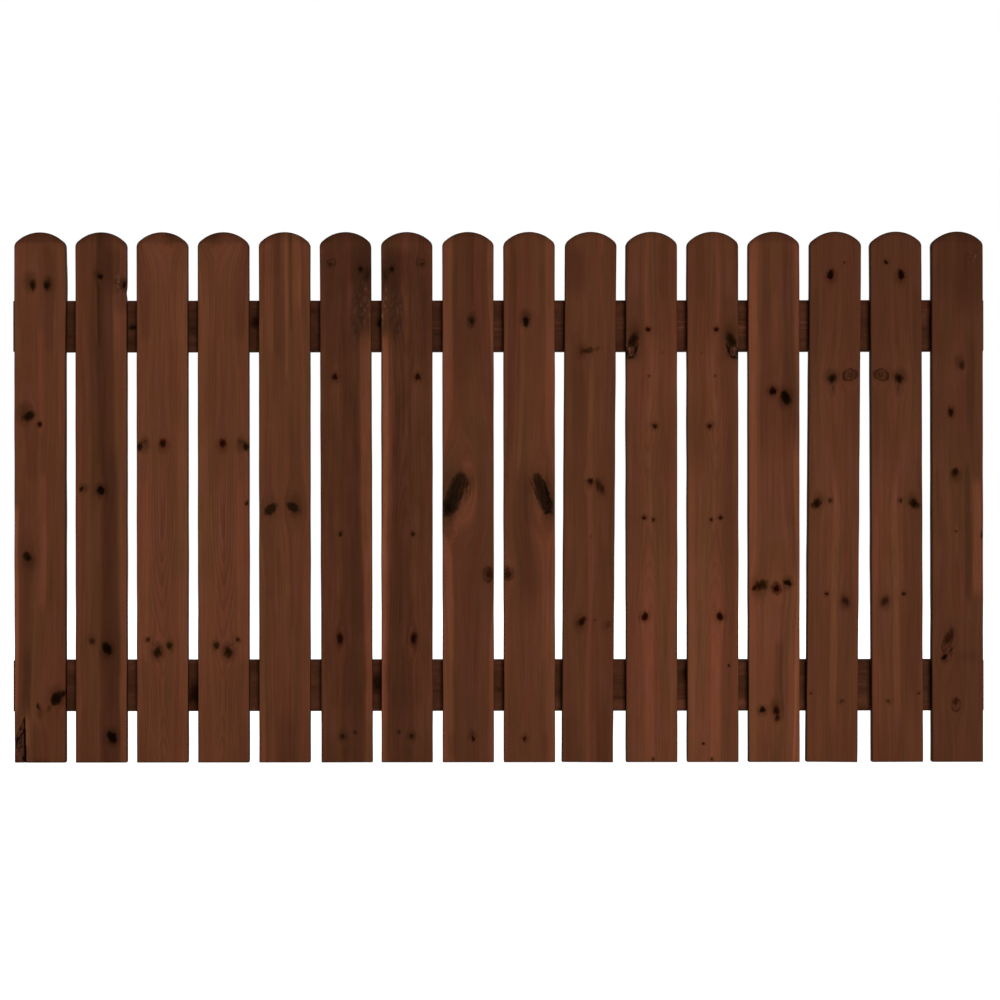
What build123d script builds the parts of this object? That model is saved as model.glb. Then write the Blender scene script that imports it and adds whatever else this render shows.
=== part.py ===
"""Straight picket fence panel: round-headed pickets standing side by side on the front of two rails.

The panel faces -Y, runs along X and stands up along Z. The origin is at the middle of the bottom
rail's back face, which is the face that goes against a post.
"""

import math
import os

from build123d import *

# Driving dimensions, in millimetres
PICKET_COUNT = 16
PICKET_WIDTH = 95.0
PICKET_THICKNESS = 18.0
PICKET_HEIGHT = 980.0
PICKET_GAP = 18.0
PICKET_ARRIS = 3.0  # rounding of a picket's front edges, carried on around its head
PICKET_EASE = 1.0  # small chamfer around its back edges
HEAD_RISE = 22.0  # crown of the rounded head above the ends of its arc
SHOULDER_RADIUS = 14.0  # blend between the head's arc and the picket's sides
RAIL_WIDTH = 95.0
RAIL_THICKNESS = 28.0
RAIL_ARRIS = 3.0
RAIL_OVERHANG = 5.0  # each end of a rail stands this far past the outer pickets
FOOT_TO_RAIL = 93.0  # from the pickets' feet up to the bottom rail's lower edge
CROWN_TO_RAIL = 125.0  # from the pickets' crowns down to the top rail's upper edge

# Bark pocket left on one corner of the first picket, where the board was cut near the log's skin
WANE_PICKET = 1
WANE_LENGTH = 85.0  # height of its tip above the foot
WANE_WIDTH = 20.0  # from the picket's edge to its tip
WANE_EDGE_LENGTH = 46.0  # height to which it takes the picket's own edge away
WANE_DEPTH = 5.0  # depth behind the front face, at the picket's edge

# Pickets fixed a little out of plumb: sideways drift of the foot below the top rail's fixing
FOOT_DRIFT = {6: 2.0, 10: -6.0, 14: -6.5, 15: 2.0}

# Places that follow from those sizes
PITCH = PICKET_WIDTH + PICKET_GAP
RAIL_LENGTH = PICKET_COUNT * PITCH - PICKET_GAP + 2 * RAIL_OVERHANG
FOOT_Z = -RAIL_WIDTH / 2 - FOOT_TO_RAIL
TOP_RAIL_Z = FOOT_Z + PICKET_HEIGHT - CROWN_TO_RAIL - RAIL_WIDTH / 2
FIXING_HEIGHT = TOP_RAIL_Z - FOOT_Z
FIRST_PICKET_X = -(PICKET_COUNT - 1) * PITCH / 2


def picket_outline():
    """The picket's front outline, with its foot on the X axis and its middle on the Z axis."""
    half = PICKET_WIDTH / 2
    arc_end = PICKET_HEIGHT - HEAD_RISE
    with BuildSketch(Plane.XZ) as sketch:
        with BuildLine():
            Polyline((-half, arc_end), (-half, 0), (half, 0), (half, arc_end))
            ThreePointArc((half, arc_end), (0, PICKET_HEIGHT), (-half, arc_end))
        make_face()
        shoulders = sketch.vertices().group_by(Axis.Y)[-1]
        fillet(shoulders, SHOULDER_RADIUS)
    return sketch.sketch


def rim(board, side):
    """The edges around one broad face, 0 for the front and -1 for the back, apart from the foot's."""
    broad_face = board.faces().filter_by(Axis.Y).sort_by(Axis.Y)[side]
    foot = board.faces().sort_by(Axis.Z)[0]
    return broad_face.edges() - foot.edges()


def picket_board():
    """A whole picket standing on the origin, with its back face in the plane Y = 0."""
    board = extrude(picket_outline(), PICKET_THICKNESS)
    board = chamfer(rim(board, -1), PICKET_EASE)
    return fillet(rim(board, 0), PICKET_ARRIS)


def bark_pocket():
    """The wedge that the bark leaves out of a picket's left front corner, down to its foot."""
    reach = WANE_WIDTH * WANE_EDGE_LENGTH / (WANE_LENGTH - WANE_EDGE_LENGTH)
    depth = WANE_DEPTH * (WANE_WIDTH + reach) / WANE_WIDTH
    edge_x = -PICKET_WIDTH / 2
    front_y = -PICKET_THICKNESS
    tip_x = edge_x + WANE_WIDTH
    base = Wire.make_polygon(
        [
            (tip_x, front_y, 0),
            (edge_x - reach, front_y, 0),
            (edge_x - reach, front_y + depth, 0),
        ]
    )
    return loft([Face(base), Vertex(tip_x, front_y, WANE_LENGTH)])


def hang(board, number):
    """A picket's board in its own place, counted from the left, turned about its top fixing."""
    lean = math.degrees(math.atan2(FOOT_DRIFT.get(number, 0.0), FIXING_HEIGHT))
    place = Pos(FIRST_PICKET_X + (number - 1) * PITCH, -RAIL_THICKNESS, TOP_RAIL_Z)
    return place * Rot(0, -lean, 0) * Pos(0, 0, -FIXING_HEIGHT) * board


def rail(height):
    """One rail with its back face in the plane Y = 0 and its middle at the given height."""
    board = Box(RAIL_LENGTH, RAIL_THICKNESS, RAIL_WIDTH)
    board = fillet(board.edges().filter_by(Axis.X), RAIL_ARRIS)
    return Pos(0, -RAIL_THICKNESS / 2, height) * board


def main():
    """Builds every piece and writes it out under its own name."""
    os.makedirs("parts", exist_ok=True)
    pieces = {"bottom_rail": rail(0), "top_rail": rail(TOP_RAIL_Z)}
    board = picket_board()
    for number in range(1, PICKET_COUNT + 1):
        own_board = board - bark_pocket() if number == WANE_PICKET else board
        pieces[f"picket_{number:02d}"] = hang(own_board, number)
    for name, piece in pieces.items():
        export_step(piece, f"parts/{name}.step")


main()
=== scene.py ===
"""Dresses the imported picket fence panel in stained, knotty pine and sets it in a plain white studio.

Each board is modelled again over its solid, with rounded edges, relief at its knots and a grain of its own.
Places on a board are in millimetres: across from its middle, up from its foot and deep from its front face.
Tones are in stops: one stop lighter is twice as bright.
"""

import logging
import math
from dataclasses import dataclass, field, replace
from enum import Enum

import bmesh
import bpy
from mathutils import Euler, Matrix, Vector, noise

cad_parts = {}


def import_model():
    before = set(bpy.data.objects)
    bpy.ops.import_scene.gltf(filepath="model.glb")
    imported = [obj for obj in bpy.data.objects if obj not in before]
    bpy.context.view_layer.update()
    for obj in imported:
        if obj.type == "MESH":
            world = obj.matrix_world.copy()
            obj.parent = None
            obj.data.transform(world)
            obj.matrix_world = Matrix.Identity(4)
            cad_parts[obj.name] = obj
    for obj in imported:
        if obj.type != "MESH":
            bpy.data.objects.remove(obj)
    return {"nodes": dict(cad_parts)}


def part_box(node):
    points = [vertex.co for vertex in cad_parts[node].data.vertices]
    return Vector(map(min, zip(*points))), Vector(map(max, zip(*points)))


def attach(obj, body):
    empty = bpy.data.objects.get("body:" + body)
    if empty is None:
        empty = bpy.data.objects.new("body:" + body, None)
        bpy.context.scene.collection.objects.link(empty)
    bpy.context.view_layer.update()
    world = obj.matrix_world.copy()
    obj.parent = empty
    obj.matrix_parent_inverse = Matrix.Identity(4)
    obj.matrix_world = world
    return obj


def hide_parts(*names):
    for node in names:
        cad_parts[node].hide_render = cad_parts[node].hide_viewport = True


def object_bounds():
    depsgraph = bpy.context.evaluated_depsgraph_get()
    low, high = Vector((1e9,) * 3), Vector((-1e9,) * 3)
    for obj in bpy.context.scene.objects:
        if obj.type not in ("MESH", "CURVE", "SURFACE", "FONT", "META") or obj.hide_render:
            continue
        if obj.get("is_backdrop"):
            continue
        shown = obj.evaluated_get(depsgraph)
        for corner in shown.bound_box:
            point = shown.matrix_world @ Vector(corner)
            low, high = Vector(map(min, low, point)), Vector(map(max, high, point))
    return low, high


LOG = logging.getLogger("fence_panel")
MM = 0.001
BODY = "root"
FAR_BELOW = -500.0
FAR_ABOVE = 2500.0

Socket = bpy.types.NodeSocket
Tree = bpy.types.NodeTree
Colour = tuple[float, float, float]


class KnotKind(Enum):
    """How a knot shows: how dark it is, how far only an outline, how firm its edge is and how red or grey."""

    BLACK = (0.95, 0.0, 0.40, 0.1)
    DEAD = (0.72, 0.0, 0.12, 0.0)
    BROWN = (0.55, 0.1, 0.20, 0.3)
    FAINT = (0.30, 0.0, 0.0, 0.0)
    RING = (0.36, 1.0, 0.5, 0.2)
    HOLLOW = (0.41, 1.0, 0.5, 0.2)
    SPIKE = (0.56, 0.0, 0.75, -0.8)
    RUDDY = (0.68, 0.0, 0.20, 1.0)
    CHARRED = (0.92, 0.0, 0.35, 0.9)


@dataclass(frozen=True)
class Knot:
    """One knot on a board's face, with the lean of its long axis in degrees and the way its stain is smeared."""

    across: float
    up: float
    wide: float
    tall: float
    lean: float = 0.0
    kind: KnotKind = KnotKind.DEAD
    smear: tuple[float, float] = (0.0, 0.0)


@dataclass(frozen=True)
class Streak:
    """A lighter or darker streak along the grain: its tone, how red it is and the stretch that it covers."""

    across: float
    wide: float
    tone: float
    low: float = FAR_BELOW
    high: float = FAR_ABOVE
    red: float = 0.0
    drift: float = 0.0
    fade: float = 14.0


@dataclass(frozen=True)
class Torn:
    """A patch where the planer tore the grain: rough, dark and flecked with bare wood."""

    across: float
    up: float
    wide: float
    tall: float
    dark: float = -0.6
    fleck: float = 1.2


@dataclass(frozen=True)
class Swell:
    """A place where a board's edge swells or is worn away: its side, its height, its reach and its size."""

    side: float
    up: float
    reach: float
    out: float


@dataclass(frozen=True)
class Arch:
    """A swelling of the growth rings, which shows as pointed arches: its height, its reach and its rise."""

    up: float
    reach: float
    rise: float


@dataclass(frozen=True)
class BoardLook:
    """What makes one board different from the next: its tone, its place in the log and all that it shows."""

    seed: float
    tone: float
    pith: float = 0.0
    pith_deep: float = 40.0
    ring_gap: float = 4.0
    ring_tone: float = 0.10
    blotch: float = 0.10
    rough: float = 0.0
    head_tone: float = 0.0
    arch: Arch = Arch(0.0, 100.0, 0.0)
    streaks: tuple[Streak, ...] = ()
    knots: tuple[Knot, ...] = ()
    torn: tuple[Torn, ...] = ()
    swells: tuple[Swell, ...] = ()
    mirrored: bool = False


LOOKS: dict[int, BoardLook] = {
    1: BoardLook(
        seed=1.0,
        tone=0.06,
        pith=40.0,
        ring_tone=0.06,
        head_tone=-0.5,
        streaks=(
            Streak(-35, 22, 0.18, 500, fade=50),
            Streak(-41, 9, 0.7, 95, 470, red=0.2),
            Streak(-21, 21, -0.3, 95, 415, fade=30),
            Streak(-20, 15, -0.34, 97, 205, fade=25),
            Streak(-14, 16, -0.25, 525, 620),
            Streak(0, 12, 0.28, 610, 800, red=0.3),
            Streak(3, 11, 0.34, 290, 530, red=0.35),
            Streak(14, 15, -0.28, 760, 955),
            Streak(35, 12, 0.2, 560, 960),
            Streak(44, 6, -0.25, 330, 620),
            Streak(-18, 9, 0.42, 30, 85),
            Streak(4, 26, -0.3, FAR_BELOW, 66),
            Streak(4, 27, -0.4, FAR_BELOW, 6, fade=5),
        ),
        knots=(
            Knot(-12, 882, 15, 26, 0, smear=(-6, 5)),
            Knot(13, 882, 15, 22, 0, smear=(5, 3)),
            Knot(-20, 640, 19, 30, 62, smear=(-8, 3)),
            Knot(0, 625, 9, 13, 0, KnotKind.RUDDY),
            Knot(-23, 381, 17, 23, -20, smear=(4, -10)),
            Knot(30, 118, 21, 31, 22, KnotKind.BLACK, smear=(4, 4)),
            Knot(18, 101, 12, 30, 35, KnotKind.FAINT),
            Knot(42, 127, 10, 20, 50),
            Knot(-3, 104, 8, 16, -8, smear=(3, -14)),
        ),
        swells=(Swell(1.0, 880.0, 60.0, 1.6),),
    ),
    2: BoardLook(
        seed=2.0,
        tone=-0.03,
        pith=-30.0,
        ring_tone=0.06,
        head_tone=-0.15,
        streaks=(
            Streak(-40, 11, 0.2, red=0.1),
            Streak(-34, 4, 0.15, 540, 690, red=0.8),
            Streak(-4, 28, -0.27, 480, fade=40),
            Streak(9, 28, -0.42, 560, 1050, fade=40),
            Streak(16, 32, -0.55, FAR_BELOW, 570, fade=40),
            Streak(15, 13, -0.12, FAR_BELOW, 560, drift=-5, fade=40),
            Streak(43, 23, 0.42, FAR_BELOW, 835, drift=-9),
            Streak(25, 34, -0.4, 870, 950, fade=20),
            Streak(41, 11, 0.35, 895, 955, red=1.0),
            Streak(-1, 4, -0.45, 775, 885),
        ),
        knots=(
            Knot(-1, 898, 12, 14, -20, KnotKind.RUDDY, smear=(-4, 4)),
            Knot(43, 883, 9, 15, 0, KnotKind.RUDDY),
            Knot(-36, 505, 12, 12, 30, smear=(4, 3)),
            Knot(0, 503, 15, 18, 0, KnotKind.BLACK),
            Knot(-16, 224, 14, 15, 0, KnotKind.BROWN, smear=(-2, 6)),
            Knot(11, 210, 17, 26, -35, KnotKind.BLACK),
            Knot(20, 47, 17, 26, -35, KnotKind.BLACK),
        ),
        torn=(Torn(34, 884, 22, 40, -0.3, 0.7),),
        swells=(Swell(1.0, 868.0, 8.0, -1.6),),
    ),
    3: BoardLook(
        seed=3.0,
        tone=0.25,
        pith=2.0,
        pith_deep=10.0,
        ring_gap=4.2,
        ring_tone=0.15,
        head_tone=-0.3,
        arch=Arch(120, 170, 30),
        streaks=(
            Streak(37, 18, 0.2, red=-0.1),
            Streak(-30, 18, -0.25, 780, 965),
            Streak(-33, 20, 0.24, 190, 520, red=0.25),
            Streak(4, 30, 0.06, FAR_BELOW, 520, fade=40),
            Streak(0, 95, -0.05, FAR_BELOW, 185, fade=40),
        ),
        knots=(
            Knot(14, 974, 60, 34, -80, KnotKind.FAINT),
            Knot(1, 590, 15, 19, 0, KnotKind.RUDDY, smear=(1, -5)),
            Knot(-43, 583, 15, 20, 30, smear=(11, 4)),
            Knot(-34, 592, 8, 30, 70, KnotKind.FAINT),
            Knot(-27, 227, 9, 9, 0, KnotKind.BROWN),
            Knot(-17, 219, 4, 18, -60, KnotKind.FAINT),
            Knot(-8, 204, 18, 24, 10, KnotKind.DEAD),
            Knot(14, 216, 13, 19, 0),
        ),
    ),
    5: BoardLook(
        seed=5.0,
        tone=0.12,
        pith=-50.0,
        ring_gap=3.6,
        ring_tone=0.12,
        head_tone=-0.15,
        streaks=(
            Streak(-42, 8, 0.16, red=-0.4),
            Streak(4, 6, 0.36, 715, red=0.1),
            Streak(12, 5, -0.35, 800),
            Streak(23, 15, 0.36, 840, red=0.1, fade=30),
            Streak(-13, 12, -0.22, 755),
            Streak(-28, 16, 0.15, 760, 960),
            Streak(-30, 9, -0.18, 300, 480),
            Streak(18, 18, -0.26, 430, 620, fade=40),
            Streak(4, 6, 0.22, 300, 445),
            Streak(11, 4, -0.22, 250, 440),
            Streak(2, 34, -0.42, FAR_BELOW, 85, fade=30),
            Streak(7, 4, -0.25, FAR_BELOW, 150),
            Streak(-22, 4, -0.15, 60, 420),
        ),
        knots=(
            Knot(-26, 468, 21, 34, 45, KnotKind.SPIKE),
            Knot(-33, 461, 14, 20, 60, KnotKind.FAINT),
            Knot(15, 472, 20, 30, -56, KnotKind.SPIKE, smear=(2, 8)),
            Knot(20, 467, 30, 32, 0, KnotKind.FAINT),
        ),
    ),
    6: BoardLook(
        seed=6.0,
        tone=-0.26,
        pith=-40.0,
        ring_tone=0.05,
        blotch=0.26,
        head_tone=-0.15,
        streaks=(
            Streak(40, 18, 0.56, FAR_BELOW, 790, drift=-4),
            Streak(8, 36, -0.34, FAR_BELOW, 800, fade=40),
            Streak(0, 95, -0.36, 775, fade=50),
            Streak(30, 34, -0.5, 880, 950, fade=25),
            Streak(-42, 9, 0.2, FAR_BELOW, 225, fade=40),
            Streak(-8, 4, 0.16, 300, 700),
        ),
        knots=(
            Knot(-26, 924, 15, 14, -20, KnotKind.RING),
            Knot(-29, 920, 7, 9, 0, KnotKind.BROWN),
            Knot(28, 911, 9, 12, 0, KnotKind.RUDDY),
            Knot(39, 904, 24, 44, 0, KnotKind.FAINT),
            Knot(-20, 712, 11, 15, 0, KnotKind.RUDDY),
            Knot(-11, 422, 6, 9, 0, KnotKind.BROWN),
            Knot(-12, 229, 13, 23, 0, KnotKind.RUDDY),
            Knot(-10, 222, 14, 26, 0, KnotKind.FAINT),
            Knot(-8, 48, 13, 14, -30, KnotKind.BROWN),
            Knot(15, 56, 5, 6, 20, KnotKind.BROWN),
        ),
        torn=(Torn(36, 850, 26, 96, -0.45, 0.55), Torn(20, 830, 22, 100, -0.5, 0.1)),
    ),
    8: BoardLook(
        seed=8.0,
        tone=-0.12,
        pith=40.0,
        ring_tone=0.05,
        streaks=(
            Streak(-36, 24, 0.58, red=0.15),
            Streak(41, 13, 0.52, red=0.1),
            Streak(-8, 40, -0.2, 690, 1000, fade=40),
            Streak(8, 4, -0.3, 850),
            Streak(8, 20, 0.2, 620, 760, fade=40),
            Streak(-27, 12, 0.25, 190, 425),
            Streak(25, 20, 0.15, FAR_BELOW, 300, fade=50),
            Streak(-27, 12, -0.35, 6, 55),
        ),
        knots=(
            Knot(7, 814, 10, 16, 0, KnotKind.DEAD, smear=(0, 6)),
            Knot(6, 813, 13, 19, 0, KnotKind.RING),
            Knot(-15, 518, 34, 44, 19, KnotKind.SPIKE, smear=(8, 0)),
            Knot(-23, 497, 37, 66, 19, KnotKind.SPIKE),
            Knot(-32, 476, 35, 42, 19, KnotKind.SPIKE),
            Knot(-36, 470, 24, 42, 19, KnotKind.DEAD),
            Knot(-4, 513, 14, 26, 19, KnotKind.BROWN),
            Knot(-2, 508, 36, 84, 22, KnotKind.FAINT),
            Knot(38, 348, 17, 24, 0, KnotKind.BROWN),
            Knot(36, 346, 17, 26, 0, KnotKind.RING),
            Knot(9, 44, 9, 13, -30, KnotKind.RUDDY, smear=(-2, 6)),
        ),
    ),
    10: BoardLook(
        seed=10.0,
        tone=-0.02,
        pith=34.0,
        ring_tone=0.05,
        streaks=(
            Streak(1, 9, 0.3, FAR_BELOW, 745, drift=3, fade=40),
            Streak(-30, 40, -0.32, 868, 950, red=0.2, fade=20),
            Streak(22, 4, 0.35, 945, 975),
            Streak(-20, 26, -0.16, 600, 780, fade=50),
            Streak(-26, 30, -0.22, FAR_BELOW, 95, fade=30),
            Streak(26, 22, -0.26, FAR_BELOW, 110, fade=40),
        ),
        knots=(
            Knot(-6, 760, 14, 30, 80, KnotKind.BROWN, smear=(-10, 3)),
            Knot(14, 764, 10, 18, 60, KnotKind.FAINT),
            Knot(2, 519, 13, 14, 0, KnotKind.RUDDY, smear=(0, -3)),
            Knot(-4, 520, 8, 20, 80, KnotKind.FAINT),
            Knot(20, 509, 16, 36, -28, KnotKind.BROWN, smear=(4, -3)),
            Knot(-12, 261, 15, 26, 42, KnotKind.RUDDY, smear=(-4, -4)),
            Knot(36, 254, 22, 30, 40, KnotKind.FAINT),
            Knot(12, 262, 4, 4, 0, KnotKind.BROWN),
            Knot(4, 417, 5, 6, 0, KnotKind.FAINT),
        ),
    ),
    11: BoardLook(
        seed=11.0,
        tone=0.14,
        pith=-4.0,
        pith_deep=12.0,
        ring_gap=4.4,
        ring_tone=0.1,
        arch=Arch(470, 180, 20),
        streaks=(
            Streak(0, 95, -0.14, 770, fade=60),
            Streak(0, 95, 0.16, FAR_BELOW, 400, fade=60),
            Streak(-6, 17, 0.18),
            Streak(-3, 24, 0.14, FAR_BELOW, 330, fade=60),
            Streak(-30, 18, -0.24, 740, 860),
            Streak(-45, 7, -0.3, 700, 980, red=0.5),
            Streak(38, 12, 0.16, FAR_BELOW, 520, fade=40),
            Streak(22, 16, -0.2, 855, 965),
            Streak(4, 14, 0.2, 610, 770, fade=40),
        ),
        knots=(
            Knot(-7, 799, 10, 12, 0, KnotKind.RUDDY),
            Knot(-34, 779, 21, 34, 22, KnotKind.DEAD, smear=(4, 12)),
            Knot(-47, 753, 7, 16, 5, KnotKind.BLACK),
            Knot(-29, 763, 6, 28, 18, KnotKind.DEAD),
            Knot(-38, 748, 18, 6, -20, KnotKind.BROWN),
            Knot(-4, 714, 4, 4, 0, KnotKind.BROWN),
            Knot(6, 621, 11, 13, 0, KnotKind.RUDDY),
            Knot(-14, 452, 8, 8, 0, KnotKind.RUDDY),
            Knot(3, 448, 5, 6, 0, KnotKind.RUDDY),
            Knot(-13, 269, 13, 16, 20, KnotKind.CHARRED),
            Knot(3, 5, 7, 6, 0, KnotKind.BROWN),
            Knot(20, 757, 4, 4, 0, KnotKind.FAINT),
        ),
        torn=(Torn(-39, 761, 24, 32, -1.1, 2.2),),
    ),
    13: BoardLook(
        seed=13.0,
        tone=0.17,
        pith=4.0,
        ring_tone=0.06,
        head_tone=-0.2,
        streaks=(
            Streak(-38, 18, 0.36, red=0.15),
            Streak(-26, 9, 0.16, FAR_BELOW, 960),
            Streak(2, 60, -0.2, 600, fade=60),
            Streak(27, 20, -0.3, 600, 960, fade=50),
            Streak(-2, 50, 0.12, FAR_BELOW, 560, fade=50),
            Streak(43, 9, 0.2, 600, 960, red=0.5),
            Streak(41, 15, 0.62, FAR_BELOW, 590, red=0.4, fade=40),
            Streak(30, 18, 0.42, FAR_BELOW, 340, fade=30),
            Streak(-6, 26, 0.18, 60, 340, fade=40),
            Streak(7, 13, -0.4, 85, 220),
            Streak(10, 5, -0.2, 85, 330),
        ),
        knots=(
            Knot(-2, 685, 15, 16, 0, KnotKind.CHARRED),
            Knot(22, 673, 19, 30, -25, KnotKind.BLACK),
            Knot(-23, 327, 22, 30, 75, KnotKind.DEAD, smear=(-6, -4)),
            Knot(-36, 322, 11, 16, 30, KnotKind.RUDDY),
            Knot(4, 321, 14, 16, 0, KnotKind.CHARRED),
            Knot(4, 321, 18, 21, 0, KnotKind.RING),
            Knot(25, 331, 12, 19, -60, KnotKind.BLACK),
            Knot(-21, 96, 12, 14, 40, KnotKind.BLACK),
            Knot(4, 94, 14, 24, -12, KnotKind.RUDDY, smear=(-1, 6)),
            Knot(6, 82, 11, 14, 0, KnotKind.RUDDY),
        ),
    ),
    14: BoardLook(
        seed=14.0,
        tone=0.1,
        pith=2.0,
        pith_deep=14.0,
        ring_gap=4.4,
        ring_tone=0.08,
        arch=Arch(560, 200, 18),
        streaks=(
            Streak(0, 95, -0.28, 740, fade=70),
            Streak(-36, 20, -0.14, 620, 960, fade=60),
            Streak(2, 13, 0.34, 80, 530, fade=40),
            Streak(38, 14, 0.12, FAR_BELOW, 560, fade=60),
            Streak(8, 8, 0.15, 720, 900),
            Streak(30, 18, -0.1, FAR_BELOW, 330, fade=60),
            Streak(2, 24, 0.1, 200, 480, fade=60),
        ),
        knots=(
            Knot(-9, 901, 13, 22, 10, KnotKind.CHARRED, smear=(2, -5)),
            Knot(16, 923, 4, 4, 0, KnotKind.RUDDY),
            Knot(-5, 709, 18, 20, 0, KnotKind.DEAD, smear=(0, 3)),
            Knot(-5, 709, 9, 9, 0, KnotKind.BLACK),
            Knot(-3, 689, 5, 18, 0, KnotKind.FAINT),
            Knot(28, 715, 27, 21, -15, KnotKind.HOLLOW),
            Knot(28, 715, 26, 20, -15, KnotKind.FAINT),
            Knot(-31, 478, 18, 24, 10, KnotKind.DEAD, smear=(2, 5)),
            Knot(-38, 474, 12, 14, -10, KnotKind.BROWN),
            Knot(-7, 483, 7, 8, 0, KnotKind.BROWN),
            Knot(-12, 311, 6, 8, 0, KnotKind.RUDDY),
            Knot(23, 297, 15, 25, -28, KnotKind.BROWN),
            Knot(-40, 128, 4, 4, 0, KnotKind.RUDDY),
            Knot(17, 112, 9, 10, 30, KnotKind.BROWN),
        ),
    ),
    16: BoardLook(
        seed=16.0,
        tone=-0.14,
        pith=-36.0,
        ring_tone=0.05,
        blotch=0.12,
        head_tone=-0.15,
        streaks=(
            Streak(0, 95, -0.28, 850, fade=50),
            Streak(24, 52, -0.3, 830, fade=50),
            Streak(0, 95, -0.14, 600, 850, fade=60),
            Streak(24, 18, -0.22, 600, 780, fade=40),
            Streak(-42, 8, 0.14, 60, 560),
            Streak(32, 16, 0.62, 310, 520, red=0.35),
            Streak(15, 9, -0.45, 300, 545),
            Streak(14, 46, -0.2, 186, 204, fade=6),
            Streak(-4, 3, 0.35, 380, 440),
            Streak(-6, 3, 0.3, FAR_BELOW, 35),
        ),
        knots=(
            Knot(8, 732, 13, 18, 0, KnotKind.BROWN, smear=(-5, 8)),
            Knot(-12, 646, 12, 18, 0, KnotKind.RUDDY),
            Knot(-5, 535, 15, 20, 15, KnotKind.DEAD, smear=(3, -6)),
            Knot(-3, 427, 5, 5, 0, KnotKind.BROWN),
            Knot(46, 419, 5, 12),
            Knot(-17, 229, 18, 44, 28, KnotKind.BROWN, smear=(3, 5)),
            Knot(-19, 224, 16, 40, 24, KnotKind.RING),
            Knot(-24, 194, 7, 17, 60, KnotKind.BLACK),
            Knot(-13, 206, 3, 26, 40),
            Knot(-3, 112, 12, 14, 15, KnotKind.BROWN),
            Knot(-3, 106, 16, 24, 0, KnotKind.RING),
        ),
        torn=(Torn(27, 935, 20, 22, -0.3, 0.9),),
    ),
}
LOOKS |= {
    4: replace(
        LOOKS[3],
        mirrored=True,
        tone=0.18,
        streaks=LOOKS[3].streaks + (Streak(15, 26, 0.18, FAR_BELOW, 520, fade=40),),
        knots=LOOKS[3].knots + (Knot(-43, 478, 5, 6, 0, KnotKind.BLACK),),
    ),
    7: replace(
        LOOKS[6],
        mirrored=True,
        tone=-0.2,
        pith=3.0,
        pith_deep=14.0,
        ring_gap=5.0,
        ring_tone=0.12,
        arch=Arch(640, 240, 18),
        streaks=LOOKS[6].streaks + (
            Streak(43, 9, 0.35, FAR_BELOW, 790, drift=-4),
            Streak(31, 7, -0.28, FAR_BELOW, 790),
            Streak(2, 8, 0.35, 600, 900),
            Streak(10, 62, 0.3, 945, fade=15),
            Streak(43, 12, 0.55, 890, 955, fade=15),
            Streak(-34, 22, -0.25, 740, 880, fade=30),
        ),
        torn=(Torn(42, 850, 13, 110, -0.2, 0.95), Torn(19, 836, 26, 116, -0.55, 0.12)),
    ),
    9: replace(
        LOOKS[8],
        mirrored=True,
        tone=0.02,
        streaks=(
            Streak(-38, 20, 0.4, red=0.15),
            Streak(42, 9, 0.2),
            Streak(30, 14, -0.24, 560, 960, fade=40),
            Streak(10, 8, 0.3, 545, 810),
            Streak(4, 36, -0.3, 300, 540, fade=40),
            Streak(-26, 12, 0.2, 190, 420),
            Streak(0, 60, 0.14, FAR_BELOW, 300, fade=50),
            Streak(-22, 30, -0.3, 440, 520, fade=20),
            Streak(-27, 12, -0.3, 6, 55),
        ),
        knots=(
            Knot(6, 814, 13, 21, 0, KnotKind.BLACK, smear=(0, 6)),
            Knot(-17, 518, 23, 42, 20, KnotKind.SPIKE, smear=(6, 2)),
            Knot(-24, 497, 28, 66, 20, KnotKind.SPIKE),
            Knot(-31, 477, 28, 42, 20, KnotKind.SPIKE),
            Knot(-33, 500, 4, 62, 20, KnotKind.BLACK),
            Knot(-11, 497, 3, 76, 21, KnotKind.BROWN),
            Knot(-34, 462, 20, 8, 20, KnotKind.DEAD),
            Knot(40, 348, 17, 20, 0, KnotKind.BROWN),
            Knot(39, 347, 18, 22, 0, KnotKind.RING),
            Knot(9, 44, 9, 12, -30, KnotKind.RUDDY),
        ),
    ),
    12: replace(
        LOOKS[11],
        mirrored=True,
        tone=0.1,
        streaks=LOOKS[11].streaks + (
            Streak(26, 44, 0.26, FAR_BELOW, 560, fade=60),
            Streak(-5, 22, 0.14, FAR_BELOW, 260, fade=50),
            Streak(-26, 16, -0.16, FAR_BELOW, 760, fade=60),
            Streak(-42, 10, 0.15, FAR_BELOW, 600, fade=60),
        ),
        knots=LOOKS[11].knots + (Knot(-29, 178, 3, 3, 0, KnotKind.BLACK), Knot(18, 35, 3.5, 3.5, 0, KnotKind.BLACK)),
    ),
    15: replace(
        LOOKS[14],
        mirrored=True,
        tone=0.04,
        streaks=LOOKS[14].streaks + (
            Streak(30, 34, 0.22, 60, 540, fade=60),
            Streak(-26, 26, -0.2, 100, 540, fade=60),
        ),
        knots=LOOKS[14].knots + (Knot(19, 923, 8, 10, 40, KnotKind.BROWN),),
    ),
}

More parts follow.
